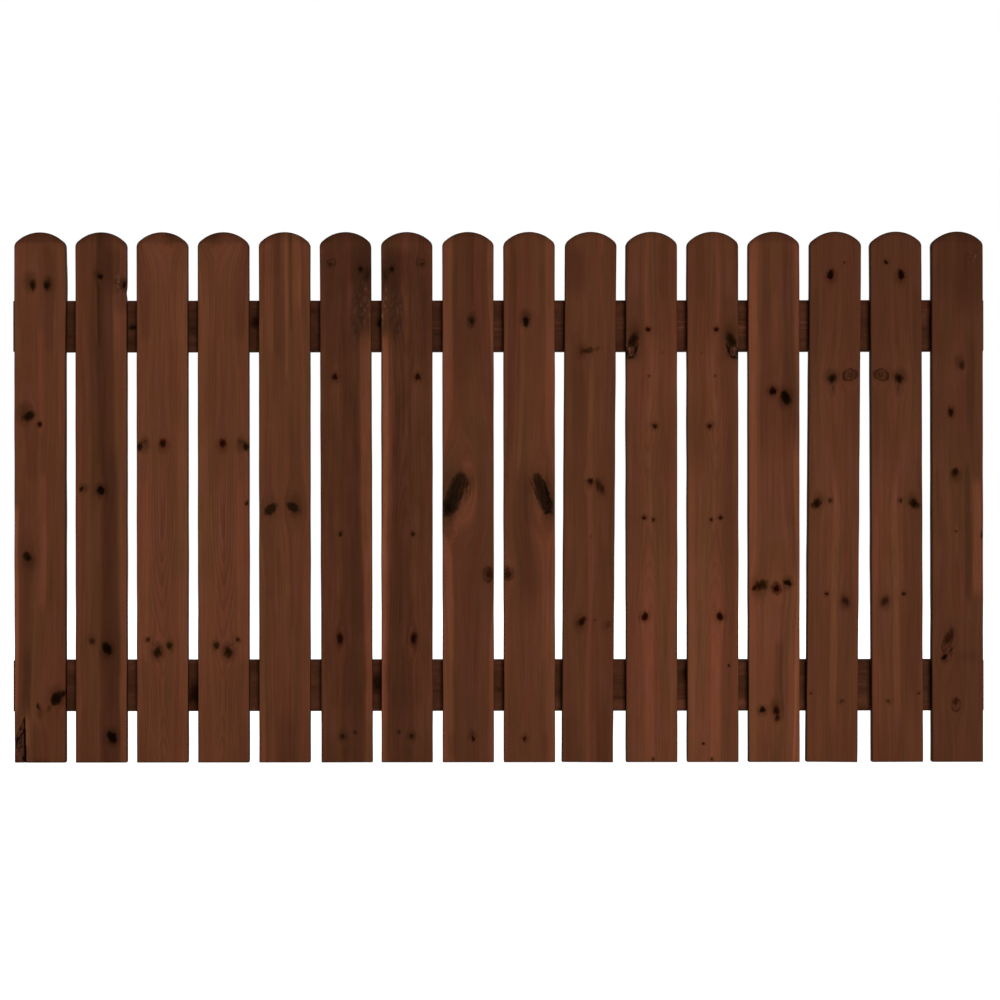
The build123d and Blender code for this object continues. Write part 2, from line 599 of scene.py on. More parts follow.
RAIL_LOOKS: dict[str, BoardLook] = {
    "top_rail": BoardLook(
        seed=31.0,
        # Painted shade: the whole rail is darker than the pickets for the shade that falls on it behind them.
        tone=-1.13,
        pith=30.0,
        blotch=0.6,
        rough=0.4,
        ring_tone=0.16,
        streaks=(
            Streak(-6.5, 2.5, 0.5, 760, 1500, red=0.3),
            Streak(4.5, 3, 0.55, 760, 1500, red=0.3),
            Streak(18, 2.5, 0.2, 1080, 1420, red=0.3),
            Streak(-22, 2.5, 0.2, 1200, 1420, red=0.3),
            # Painted light: the rail turns lighter towards its right end.
            Streak(0, 95, 0.38, 960, fade=250),
            Streak(-25, 6, -0.3, 200, 560),
            Streak(-36, 14, 0.15, red=0.4),
        ),
        knots=(
            Knot(-6, 681, 18, 14),
            Knot(-8, 450, 26, 22, 0, KnotKind.BROWN),
            Knot(4, 334, 9, 16, 0, KnotKind.FAINT),
            Knot(2, 224, 9, 20, 0, KnotKind.BROWN),
        ),
    ),
    "bottom_rail": BoardLook(
        seed=32.0,
        # Painted shade: the whole rail is darker than the pickets for the shade that falls on it behind them.
        tone=-0.86,
        pith=-34.0,
        blotch=0.62,
        rough=0.4,
        ring_tone=0.2,
        streaks=(
            Streak(36, 18, 0.45, 1105, 1600, red=0.6, fade=30),
            Streak(23, 3, -0.6, 1100, 1330),
            Streak(7, 3, -0.6, 740, 800),
            Streak(-36, 5, 0.2, 100, 400),
            Streak(34, 3, 0.6, 650, 700, red=0.9),
            Streak(27, 3, 0.5, 650, 700, red=0.9),
            Streak(-24, 36, -0.4, 1215, 1250),
            # Painted light: the rail turns lighter towards its right end.
            Streak(0, 95, 0.25, 1080, fade=250),
        ),
        knots=(
            Knot(16, 340, 60, 40, 0, KnotKind.BROWN, smear=(10, 0)),
            Knot(-6, 675, 44, 30, 0, KnotKind.BROWN),
            Knot(-22, 1252, 26, 24, 0, KnotKind.BROWN),
            Knot(8, 904, 8, 20, 0, KnotKind.FAINT),
        ),
    ),
}


class Graph:
    """A node tree with short calls for the nodes that the finishes use."""

    def __init__(self, tree: Tree) -> None:
        """Keeps the tree."""
        self.tree = tree

    def node(self, kind: str, **settings: object) -> bpy.types.Node:
        """Adds a node.

        Args:
            kind: the node's type name.
            settings: properties to set on it.

        Returns:
            The new node.
        """
        made = self.tree.nodes.new(kind)
        for name, value in settings.items():
            setattr(made, name, value)
        return made

    def feed(self, socket: Socket, value: object) -> None:
        """Links an output into a socket, or sets a plain value on it.

        Args:
            socket: the input socket.
            value: an output socket, a number, a vector or a colour.
        """
        if isinstance(value, Socket):
            self.tree.links.new(value, socket)
        else:
            socket.default_value = value

    def math(self, operation: str, first: object, second: object = 0.0, clamp: bool = False) -> Socket:
        """Adds a Math node.

        Args:
            operation: what it works out.
            first: its first value.
            second: its second value, where it takes one.
            clamp: whether the result stays between 0 and 1.

        Returns:
            The result.
        """
        made = self.node("ShaderNodeMath", operation=operation, use_clamp=clamp)
        self.feed(made.inputs[0], first)
        self.feed(made.inputs[1], second)
        return made.outputs[0]

    def total(self, *values: object) -> Socket:
        """Adds up values.

        Args:
            values: numbers and sockets.

        Returns:
            Their sum.
        """
        summed = values[0]
        for value in values[1:]:
            summed = self.math("ADD", summed, value)
        return summed

    def times(self, first: object, second: object) -> Socket:
        """Multiplies two values."""
        return self.math("MULTIPLY", first, second)

    def fused(self, value: object, gain: object, start: object, clamp: bool = False) -> Socket:
        """Multiplies a value and adds to it.

        Args:
            value: the value.
            gain: what it is multiplied by.
            start: what is added.
            clamp: whether the result stays between 0 and 1.

        Returns:
            The result.
        """
        made = self.node("ShaderNodeMath", operation="MULTIPLY_ADD", use_clamp=clamp)
        for socket, fed in zip(made.inputs, (value, gain, start)):
            self.feed(socket, fed)
        return made.outputs[0]

    def length(self, first: object, second: object) -> Socket:
        """Works out the length of two sides at a right angle."""
        return self.math("SQRT", self.fused(first, first, self.times(second, second)))

    def limited(self, value: object, low: float, high: float) -> Socket:
        """Keeps a value between two others."""
        return self.math("MINIMUM", self.math("MAXIMUM", value, low), high)

    def on_board(self, place: Matrix, side: float) -> Socket:
        """Finds the shaded point in a board's own frame, in millimetres.

        Args:
            place: where the board's frame lies in the panel.
            side: -1 to mirror it across the board.

        Returns:
            The place on the board.
        """
        coordinates = self.node("ShaderNodeTexCoord")
        to_board = self.node("ShaderNodeMapping", vector_type="TEXTURE")
        self.feed(to_board.inputs["Vector"], coordinates.outputs["Object"])
        self.feed(to_board.inputs["Location"], place.translation)
        self.feed(to_board.inputs["Rotation"], place.to_euler())
        self.feed(to_board.inputs["Scale"], (side * MM, MM, MM))
        return to_board.outputs[0]

    def board_normal(self, place: Matrix) -> Socket:
        """Finds the surface's direction in a board's own frame.

        Args:
            place: where the board's frame lies in the panel.

        Returns:
            The direction.
        """
        surface = self.node("ShaderNodeNewGeometry")
        turned = self.node("ShaderNodeMapping", vector_type="TEXTURE")
        self.feed(turned.inputs["Vector"], surface.outputs["Normal"])
        self.feed(turned.inputs["Rotation"], place.to_euler())
        return turned.outputs[0]

    def vector(self, operation: str, first: object, second: object) -> Socket:
        """Adds a Vector Math node that takes two vectors.

        Args:
            operation: what it works out.
            first: its first vector.
            second: its second vector.

        Returns:
            The resulting vector.
        """
        made = self.node("ShaderNodeVectorMath", operation=operation)
        self.feed(made.inputs[0], first)
        self.feed(made.inputs[1], second)
        return made.outputs[0]

    def scaled(self, vector: object, scale: object) -> Socket:
        """Scales a vector or colour by one value.

        Args:
            vector: the vector or colour.
            scale: what it is multiplied by.

        Returns:
            The scaled vector.
        """
        made = self.node("ShaderNodeVectorMath", operation="SCALE")
        self.feed(made.inputs[0], vector)
        self.feed(made.inputs["Scale"], scale)
        return made.outputs[0]

    def parts(self, vector: object) -> tuple[Socket, Socket, Socket]:
        """Splits a vector.

        Args:
            vector: the vector.

        Returns:
            Its three components.
        """
        made = self.node("ShaderNodeSeparateXYZ")
        self.feed(made.inputs[0], vector)
        return made.outputs[0], made.outputs[1], made.outputs[2]

    def joined(self, across: object, deep: object, up: object) -> Socket:
        """Joins three values into a vector.

        Args:
            across: its first component.
            deep: its second component.
            up: its third component.

        Returns:
            The vector.
        """
        made = self.node("ShaderNodeCombineXYZ")
        for socket, value in zip(made.inputs, (across, deep, up)):
            self.feed(socket, value)
        return made.outputs[0]

    def smooth(self, value: object, start: object, end: object) -> Socket:
        """Eases from 0 at one value to 1 at another.

        Args:
            value: what is eased.
            start: where the result is 0.
            end: where the result is 1; it may be the smaller.

        Returns:
            The eased value.
        """
        made = self.node("ShaderNodeMapRange", interpolation_type="SMOOTHSTEP")
        self.feed(made.inputs["Value"], value)
        self.feed(made.inputs["From Min"], start)
        self.feed(made.inputs["From Max"], end)
        return made.outputs[0]

    def cloud(self, vector: object, stretch: Colour, detail: float = 2.0, rough: float = 0.5) -> Socket:
        """Adds noise between -1 and 1.

        Args:
            vector: where it is read.
            stretch: how fast it changes along each axis.
            detail: how many finer layers it has.
            rough: how strong the finer layers are.

        Returns:
            The noise.
        """
        made = self.node("ShaderNodeTexNoise")
        self.feed(made.inputs["Vector"], self.vector("MULTIPLY", vector, stretch))
        self.feed(made.inputs["Scale"], 1.0)
        self.feed(made.inputs["Detail"], detail)
        self.feed(made.inputs["Roughness"], rough)
        return self.fused(made.outputs[0], 2.0, -1.0)

    def mix(self, share: object, first: object, second: object) -> Socket:
        """Mixes two colours.

        Args:
            share: how much of the second colour shows.
            first: the first colour.
            second: the second colour.

        Returns:
            The mixed colour.
        """
        made = self.node("ShaderNodeMix", data_type="RGBA")
        self.feed(made.inputs[0], share)
        self.feed(made.inputs[6], first)
        self.feed(made.inputs[7], second)
        return made.outputs[2]

    def use(self, group: Tree, **values: object) -> dict[str, Socket]:
        """Places a node group.

        Args:
            group: the group's tree.
            values: its inputs, with underscores for spaces.

        Returns:
            Its outputs by name.
        """
        made = self.node("ShaderNodeGroup", node_tree=group)
        for name, value in values.items():
            self.feed(made.inputs[name.replace("_", " ").capitalize()], value)
        return {socket.name: socket for socket in made.outputs}


class GroupKind(Enum):
    """The kinds of socket that the node groups have."""

    VALUE = "NodeSocketFloat"
    VECTOR = "NodeSocketVector"
    COLOUR = "NodeSocketColor"


def new_group(name: str, takes: dict[str, GroupKind], gives: dict[str, GroupKind]) -> tuple[Graph, dict, dict]:
    """Starts a shader node group.

    Args:
        name: the group's name.
        takes: its inputs and their kinds.
        gives: its outputs and their kinds.

    Returns:
        Its graph, its inputs by name and the sockets of its outputs by name.
    """
    tree = bpy.data.node_groups.new(name, "ShaderNodeTree")
    for direction, sockets in (("INPUT", takes), ("OUTPUT", gives)):
        for title, kind in sockets.items():
            tree.interface.new_socket(name=title, in_out=direction, socket_type=kind.value)
    graph = Graph(tree)
    entry = graph.node("NodeGroupInput")
    leave = graph.node("NodeGroupOutput")
    inputs = {title: entry.outputs[title] for title in takes}
    outputs = {title: leave.inputs[title] for title in gives}
    return graph, inputs, outputs


VALUE = GroupKind.VALUE
VECTOR = GroupKind.VECTOR
COLOUR = GroupKind.COLOUR


@dataclass(frozen=True)
class StainedPine:
    """The finish of every board: pine with growth rings and knots under a dark red-brown stain."""

    red_brown: Colour = (0.1010, 0.0285, 0.0135)
    olive_brown: Colour = (0.0880, 0.0335, 0.0130)
    dusk_brown: Colour = (0.0930, 0.0300, 0.0185)
    knot_brown: Colour = (0.0880, 0.0310, 0.0040)
    knot_red: Colour = (0.1080, 0.0170, 0.0008)
    knot_grey: Colour = (0.0720, 0.0330, 0.0120)
    bare_tan: Colour = (0.1020, 0.0480, 0.0280)
    strip_tone: float = 0.28
    band_tone: float = 0.36
    fibre_tone: float = 0.30
    knot_tone: float = -3.4
    halo_tone: float = -0.9
    rough_tone: float = 1.0
    # Painted shade in part: the sides and rounded edges are darkened both as stain soaking into them and for the
    # shade that falls on them.
    edge_stain_and_shade_tone: float = -1.4
    end_tone: float = -1.6
    # Painted shade: a dark band along the lowest few millimetres of each board, where its foot faces away from the
    # light.
    foot_shade_tone: float = -0.65
    soak_tone: float = -0.45
    soak_deep: float = 14.0
    head_arc: float = 0.0098
    head_shade: float = 20.0
    roughness: float = 0.62
    shine: float = 0.012

    def knot_group(self) -> Tree:
        """Builds the group that adds one knot to the masks and bends the grain around it.

        Returns:
            The group's tree.
        """
        takes = {"Place": VECTOR, "Across": VALUE, "Up": VALUE, "Half wide": VALUE, "Half tall": VALUE}
        takes |= {"Sine": VALUE, "Cosine": VALUE, "Dark": VALUE, "Hollow": VALUE, "Firm": VALUE}
        takes |= {"Smear across": VALUE, "Smear up": VALUE}
        takes |= {"Red": VALUE}
        sums = {"Core": VALUE, "Halo": VALUE, "Ruddy": VALUE, "Bend": VALUE, "Near": VALUE}
        graph, inputs, outputs = new_group("pine knot", takes | sums, sums)
        across, deep, up = graph.parts(inputs["Place"])
        aside = graph.math("SUBTRACT", graph.fused(deep, -0.12, across), inputs["Across"])
        above = graph.math("SUBTRACT", graph.fused(deep, -0.25, up), inputs["Up"])
        along = graph.fused(aside, inputs["Sine"], graph.times(above, inputs["Cosine"]))
        abeam = graph.math("SUBTRACT", graph.times(aside, inputs["Cosine"]), graph.times(above, inputs["Sine"]))
        radius = graph.length(
            graph.math("DIVIDE", along, inputs["Half tall"]), graph.math("DIVIDE", abeam, inputs["Half wide"])
        )
        body = graph.smooth(
            radius, graph.fused(inputs["Firm"], -0.4, 1.5), graph.fused(inputs["Firm"], 0.7, 0.0)
        )
        rim = graph.smooth(graph.math("ABSOLUTE", graph.total(radius, -0.95)), 0.32, 0.04)
        eye = graph.smooth(graph.math("ABSOLUTE", graph.total(radius, -0.4)), 0.24, 0.04)
        outline = graph.fused(eye, 0.55, rim)
        solid = graph.math("SUBTRACT", 1.0, inputs["Hollow"])
        core = graph.times(graph.fused(body, solid, graph.times(outline, inputs["Hollow"])), inputs["Dark"])
        stained = graph.length(
            graph.math(
                "DIVIDE",
                graph.math("SUBTRACT", aside, inputs["Smear across"]),
                graph.fused(inputs["Half wide"], 2.0, 2.0),
            ),
            graph.math(
                "DIVIDE",
                graph.math("SUBTRACT", above, inputs["Smear up"]),
                graph.fused(inputs["Half tall"], 1.8, 2.0),
            ),
        )
        halo = graph.times(graph.smooth(stained, 1.3, 0.0), inputs["Dark"])
        reach = graph.length(
            graph.math("DIVIDE", aside, inputs["Half wide"]),
            graph.math("DIVIDE", above, graph.times(inputs["Half tall"], 1.9)),
        )
        bend = graph.math("DIVIDE", graph.times(aside, -0.85), graph.math("MAXIMUM", graph.times(reach, reach), 1.0))
        graph.feed(outputs["Core"], graph.math("MAXIMUM", inputs["Core"], core))
        graph.feed(outputs["Halo"], graph.math("MAXIMUM", inputs["Halo"], halo))
        graph.feed(outputs["Ruddy"], graph.fused(graph.smooth(radius, 2.2, 0.9), inputs["Red"], inputs["Ruddy"]))
        graph.feed(outputs["Bend"], graph.total(inputs["Bend"], bend))
        graph.feed(outputs["Near"], graph.math("MINIMUM", inputs["Near"], radius))
        return graph.tree

    def streak_group(self) -> Tree:
        """Builds the group that adds one streak along the grain.

        Returns:
            The group's tree.
        """
        takes = {"Along grain": VALUE, "Up": VALUE, "At": VALUE, "Drift": VALUE, "Half wide": VALUE}
        takes |= {"Low": VALUE, "High": VALUE, "Fade": VALUE, "Tone": VALUE, "Redness": VALUE}
        sums = {"Stops": VALUE, "Red": VALUE}
        graph, inputs, outputs = new_group("pine streak", takes | sums, sums)
        middle = graph.fused(inputs["Up"], inputs["Drift"], inputs["At"])
        aside = graph.math("ABSOLUTE", graph.math("SUBTRACT", inputs["Along grain"], middle))
        band = graph.smooth(aside, graph.times(inputs["Half wide"], 1.3), graph.times(inputs["Half wide"], 0.65))
        fade = inputs["Fade"]
        under = graph.math("SUBTRACT", inputs["Up"], inputs["Low"])
        over = graph.math("SUBTRACT", inputs["High"], inputs["Up"])
        rise = graph.smooth(under, graph.times(fade, -1.0), fade)
        fall = graph.smooth(over, graph.times(fade, -1.0), fade)
        shown = graph.times(band, graph.times(rise, fall))
        graph.feed(outputs["Stops"], graph.fused(shown, inputs["Tone"], inputs["Stops"]))
        graph.feed(outputs["Red"], graph.fused(shown, inputs["Redness"], inputs["Red"]))
        return graph.tree

    def torn_group(self) -> Tree:
        """Builds the group that adds one patch of torn grain, dark with light flecks.

        Returns:
            The group's tree.
        """
        takes = {"Place": VECTOR, "Seeded": VECTOR, "Across": VALUE, "Up": VALUE, "Half wide": VALUE}
        takes |= {"Half tall": VALUE, "Dark": VALUE, "Fleck": VALUE}
        sums = {"Stops": VALUE, "Bare": VALUE}
        graph, inputs, outputs = new_group("torn grain", takes | sums, sums)
        across, _, up = graph.parts(inputs["Place"])
        patch = graph.length(
            graph.math("DIVIDE", graph.math("SUBTRACT", across, inputs["Across"]), inputs["Half wide"]),
            graph.math("DIVIDE", graph.math("SUBTRACT", up, inputs["Up"]), inputs["Half tall"]),
        )
        shown = graph.smooth(patch, 1.2, 0.7)
        cloudy = graph.smooth(graph.cloud(inputs["Seeded"], (0.10, 0.10, 0.035), 3.0), -0.35, 0.3)
        crumbs = graph.smooth(graph.cloud(inputs["Seeded"], (0.17, 0.17, 0.10), 3.0, 0.65), 0.0, 0.30)
        patches = graph.smooth(graph.cloud(inputs["Seeded"], (0.09, 0.09, 0.06), 3.0, 0.6), 0.08, 0.34)
        pale = graph.times(graph.math("MAXIMUM", crumbs, graph.times(patches, 0.6)), shown)
        dark = graph.times(graph.fused(cloudy, 0.8, 0.4), inputs["Dark"])
        stops = graph.fused(pale, inputs["Fleck"], dark)
        graph.feed(outputs["Bare"], graph.math("MAXIMUM", inputs["Bare"], pale))
        graph.feed(outputs["Stops"], graph.fused(stops, shown, inputs["Stops"]))
        return graph.tree

    def grain_group(self) -> Tree:
        """Builds the group that makes the growth rings, fibres and strips of a board.

        Returns:
            The group's tree.
        """
        takes = {"Place": VECTOR, "Bend": VALUE, "Seed": VALUE, "Pith": VALUE, "Pith deep": VALUE}
        takes |= {"Ring gap": VALUE, "Arch up": VALUE, "Arch reach": VALUE, "Arch rise": VALUE}
        gives = {"Along grain": VALUE, "Rings": VALUE, "Fibre": VALUE, "Strip": VALUE, "Band": VALUE}
        gives |= {"Mottle": VALUE, "Hue": VALUE, "Sawn": VALUE}
        graph, inputs, outputs = new_group("pine grain", takes, gives)
        offset = graph.scaled((61.0, 23.0, 1370.0), inputs["Seed"])
        place = graph.vector("ADD", inputs["Place"], offset)
        across, deep, up = graph.parts(inputs["Place"])
        wander = graph.times(graph.cloud(place, (0.006, 0.006, 0.0024), 1.0), 7.0)
        ripple = graph.times(graph.cloud(place, (0.04, 0.04, 0.012), 2.0), 1.6)
        grain = graph.total(across, inputs["Bend"], wander, ripple)
        from_pith = graph.math("SUBTRACT", grain, inputs["Pith"])
        below = graph.total(deep, inputs["Pith deep"])
        off_arch = graph.math("DIVIDE", graph.math("SUBTRACT", up, inputs["Arch up"]), inputs["Arch reach"])
        arch = graph.math("EXPONENT", graph.times(graph.times(off_arch, off_arch), -1.0))
        swell = graph.times(graph.cloud(place, (0.01, 0.01, 0.0035), 2.0), 6.0)
        ring_place = graph.total(
            graph.length(from_pith, below), graph.times(up, 0.006), swell, graph.times(arch, inputs["Arch rise"])
        )
        uneven = graph.times(graph.cloud(graph.joined(ring_place, inputs["Seed"], 0.0), (0.07, 1.0, 1.0), 2.0), 5.0)
        ring_place = graph.total(ring_place, uneven)
        phase = graph.math("FRACT", graph.math("DIVIDE", ring_place, inputs["Ring gap"]))
        late = graph.times(graph.smooth(phase, 0.3, 0.88), graph.smooth(phase, 1.0, 0.92))
        patchy = graph.smooth(graph.cloud(place, (0.014, 0.014, 0.004), 2.0), -0.4, 0.25)
        _, moved_deep, moved_up = graph.parts(place)
        moved = graph.joined(graph.fused(inputs["Seed"], 61.0, grain), moved_deep, moved_up)
        graph.feed(outputs["Along grain"], grain)
        flat_sawn = graph.smooth(graph.math("ABSOLUTE", from_pith), 62.0, 8.0)
        shown = graph.times(graph.fused(patchy, 0.75, 0.25), graph.fused(flat_sawn, 0.75, 0.25))
        graph.feed(outputs["Rings"], graph.times(late, shown))
        graph.feed(outputs["Fibre"], graph.cloud(moved, (0.62, 0.62, 0.012), 3.0, 0.65))
        graph.feed(outputs["Strip"], graph.cloud(moved, (0.045, 0.045, 0.0016), 1.0))
        graph.feed(outputs["Band"], graph.cloud(moved, (0.16, 0.16, 0.007), 2.0))
        graph.feed(outputs["Mottle"], graph.cloud(moved, (0.035, 0.035, 0.012), 3.0, 0.6))
        graph.feed(outputs["Hue"], graph.cloud(moved, (0.05, 0.05, 0.003), 1.0))
        graph.feed(outputs["Sawn"], graph.cloud(place, (0.11, 0.11, 0.07), 3.0, 0.6))
        return graph.tree

    def stain_group(self) -> Tree:
        """Builds the group that turns the masks of a board into its colour, gloss and relief.

        Returns:
            The group's tree.
        """
        takes = {"Tone": VALUE, "Redness": VALUE, "Ring tone": VALUE, "Blotch": VALUE, "Head tone": VALUE}
        takes |= {"Crown": VALUE, "Spot": VECTOR, "Rings": VALUE, "Fibre": VALUE, "Strip": VALUE, "Band": VALUE}
        takes |= {"Mottle": VALUE, "Hue": VALUE, "Core": VALUE, "Halo": VALUE, "Near": VALUE, "Normal": VECTOR}
        takes |= {"Ruddy": VALUE, "Bare": VALUE, "Sawn": VALUE, "Rough": VALUE}
        gives = {"Colour": COLOUR, "Roughness": VALUE, "Height": VALUE}
        graph, inputs, outputs = new_group("pine stain", takes, gives)
        _, facing, rising = graph.parts(inputs["Normal"])
        # Mask of the sides and rounded edges, darkened partly as stain and partly as painted shade.
        edge = graph.smooth(graph.math("ABSOLUTE", facing), 0.9, 0.3)
        end = graph.smooth(graph.math("ABSOLUTE", rising), 0.35, 0.95)
        across, _, up = graph.parts(inputs["Spot"])
        mean_ring = 0.2
        past_crown = graph.math("SUBTRACT", up, inputs["Crown"])
        into_head = graph.total(past_crown, graph.times(inputs["Mottle"], 4.0), self.head_shade)
        past_arc = graph.fused(graph.times(across, across), self.head_arc, past_crown)
        stops = graph.total(
            inputs["Tone"],
            graph.times(inputs["Strip"], self.strip_tone),
            graph.times(inputs["Band"], self.band_tone),
            graph.times(inputs["Fibre"], self.fibre_tone),
            graph.times(graph.times(inputs["Mottle"], inputs["Blotch"]), 2.0),
            graph.times(graph.math("SUBTRACT", mean_ring, inputs["Rings"]), graph.times(inputs["Ring tone"], 2.0)),
            graph.times(graph.smooth(into_head, -3.0, 4.0), inputs["Head tone"]),
            # Painted shade in part on the sides and rounded edges.
            graph.times(edge, self.edge_stain_and_shade_tone),
            graph.times(graph.times(inputs["Sawn"], inputs["Rough"]), self.rough_tone),
            graph.times(end, self.end_tone),
            # Painted shade along the foot.
            graph.times(graph.smooth(up, 2.8, 0.8), self.foot_shade_tone),
            graph.times(graph.smooth(past_arc, -self.soak_deep, 2.0), self.soak_tone),
        )
        frayed = graph.fused(inputs["Fibre"], 0.35, inputs["Core"])
        core = graph.times(graph.smooth(frayed, 0.05, 0.95), graph.smooth(inputs["Core"], 0.0, 0.2))
        clouded = graph.total(
            inputs["Halo"], graph.times(inputs["Fibre"], 0.4), graph.times(inputs["Mottle"], 0.5)
        )
        halo = graph.times(graph.smooth(clouded, 0.0, 1.0), graph.smooth(inputs["Halo"], 0.0, 0.3))
        knot_rings = graph.times(graph.math("SINE", graph.times(inputs["Near"], 22.0)), core)
        stops = graph.total(
            stops,
            graph.times(core, self.knot_tone),
            graph.times(halo, self.halo_tone),
            graph.times(knot_rings, 0.2),
        )
        hue = graph.fused(inputs["Redness"], 0.5, graph.fused(inputs["Hue"], 0.75, 0.52))
        wood = graph.mix(graph.limited(hue, -0.6, 1.8), self.olive_brown + (1.0,), self.red_brown + (1.0,))
        dusk = graph.limited(graph.fused(inputs["Mottle"], 1.3, 0.0), 0.0, 0.75)
        wood = graph.mix(dusk, wood, self.dusk_brown + (1.0,))
        wood = graph.mix(graph.limited(inputs["Bare"], 0.0, 1.0), wood, self.bare_tan + (1.0,))
        knot_colour = graph.mix(
            graph.limited(inputs["Ruddy"], 0.0, 1.0), self.knot_brown + (1.0,), self.knot_red + (1.0,)
        )
        greyed = graph.limited(graph.times(inputs["Ruddy"], -1.0), 0.0, 1.0)
        knot_colour = graph.mix(greyed, knot_colour, self.knot_grey + (1.0,))
        charred = graph.limited(graph.fused(halo, 0.22, graph.times(core, 0.9)), 0.0, 1.0)
        wood = graph.mix(charred, wood, knot_colour)
        graph.feed(outputs["Colour"], graph.scaled(wood, graph.math("POWER", 2.0, stops)))
        rough = graph.total(self.roughness, graph.times(inputs["Fibre"], 0.08), graph.times(core, 0.2))
        graph.feed(outputs["Roughness"], rough)
        height = graph.total(graph.times(inputs["Fibre"], 0.09), graph.times(inputs["Rings"], 0.05))
        graph.feed(outputs["Height"], height)
        return graph.tree


@dataclass(frozen=True)
class Bark:
    """The finish of the bark that was left on a corner: red-brown scales with dark fissures, and painted shade that
    turns its deep crack black.
    """

    scale_red: Colour = (0.0750, 0.0240, 0.0130)
    scale_pale: Colour = (0.1700, 0.0750, 0.0400)
    fissure_and_crack_shade: Colour = (0.0040, 0.0020, 0.0012)
    crack_shade_from: float = 2.6
    crack_shade_to: float = 4.0

    def material(self, place: Matrix) -> bpy.types.Material:
        """Makes the bark's material.

        Args:
            place: where the board's own frame lies in the panel.

        Returns:
            The new material.
        """
        made = bpy.data.materials.new("left_on_bark")
        made.use_nodes = True
        graph = Graph(made.node_tree)
        shader = made.node_tree.nodes["Principled BSDF"]
        spot = graph.on_board(place, 1.0)
        scales = graph.cloud(spot, (0.20, 0.20, 0.11), 4.0, 0.65)
        flecks = graph.cloud(spot, (0.55, 0.55, 0.40), 3.0, 0.6)
        colour = graph.mix(graph.smooth(scales, -0.25, 0.2), self.fissure_and_crack_shade + (1.0,), self.scale_red + (1.0,))
        colour = graph.mix(graph.smooth(flecks, 0.2, 0.45), colour, self.scale_pale + (1.0,))
        # Painted shade: the deepest places, above all the crack, turn near black.
        deep = graph.parts(spot)[1]
        colour = graph.mix(graph.smooth(deep, self.crack_shade_from, self.crack_shade_to), colour, self.fissure_and_crack_shade + (1.0,))
        bump = graph.node("ShaderNodeBump")
        graph.feed(bump.inputs["Distance"], MM)
        graph.feed(bump.inputs["Height"], graph.times(scales, 1.2))
        graph.feed(shader.inputs["Base Color"], colour)
        graph.feed(shader.inputs["Normal"], bump.outputs[0])
        shader.inputs["Roughness"].default_value = 0.9
        shader.inputs["Specular IOR Level"].default_value = 0.02
        return made


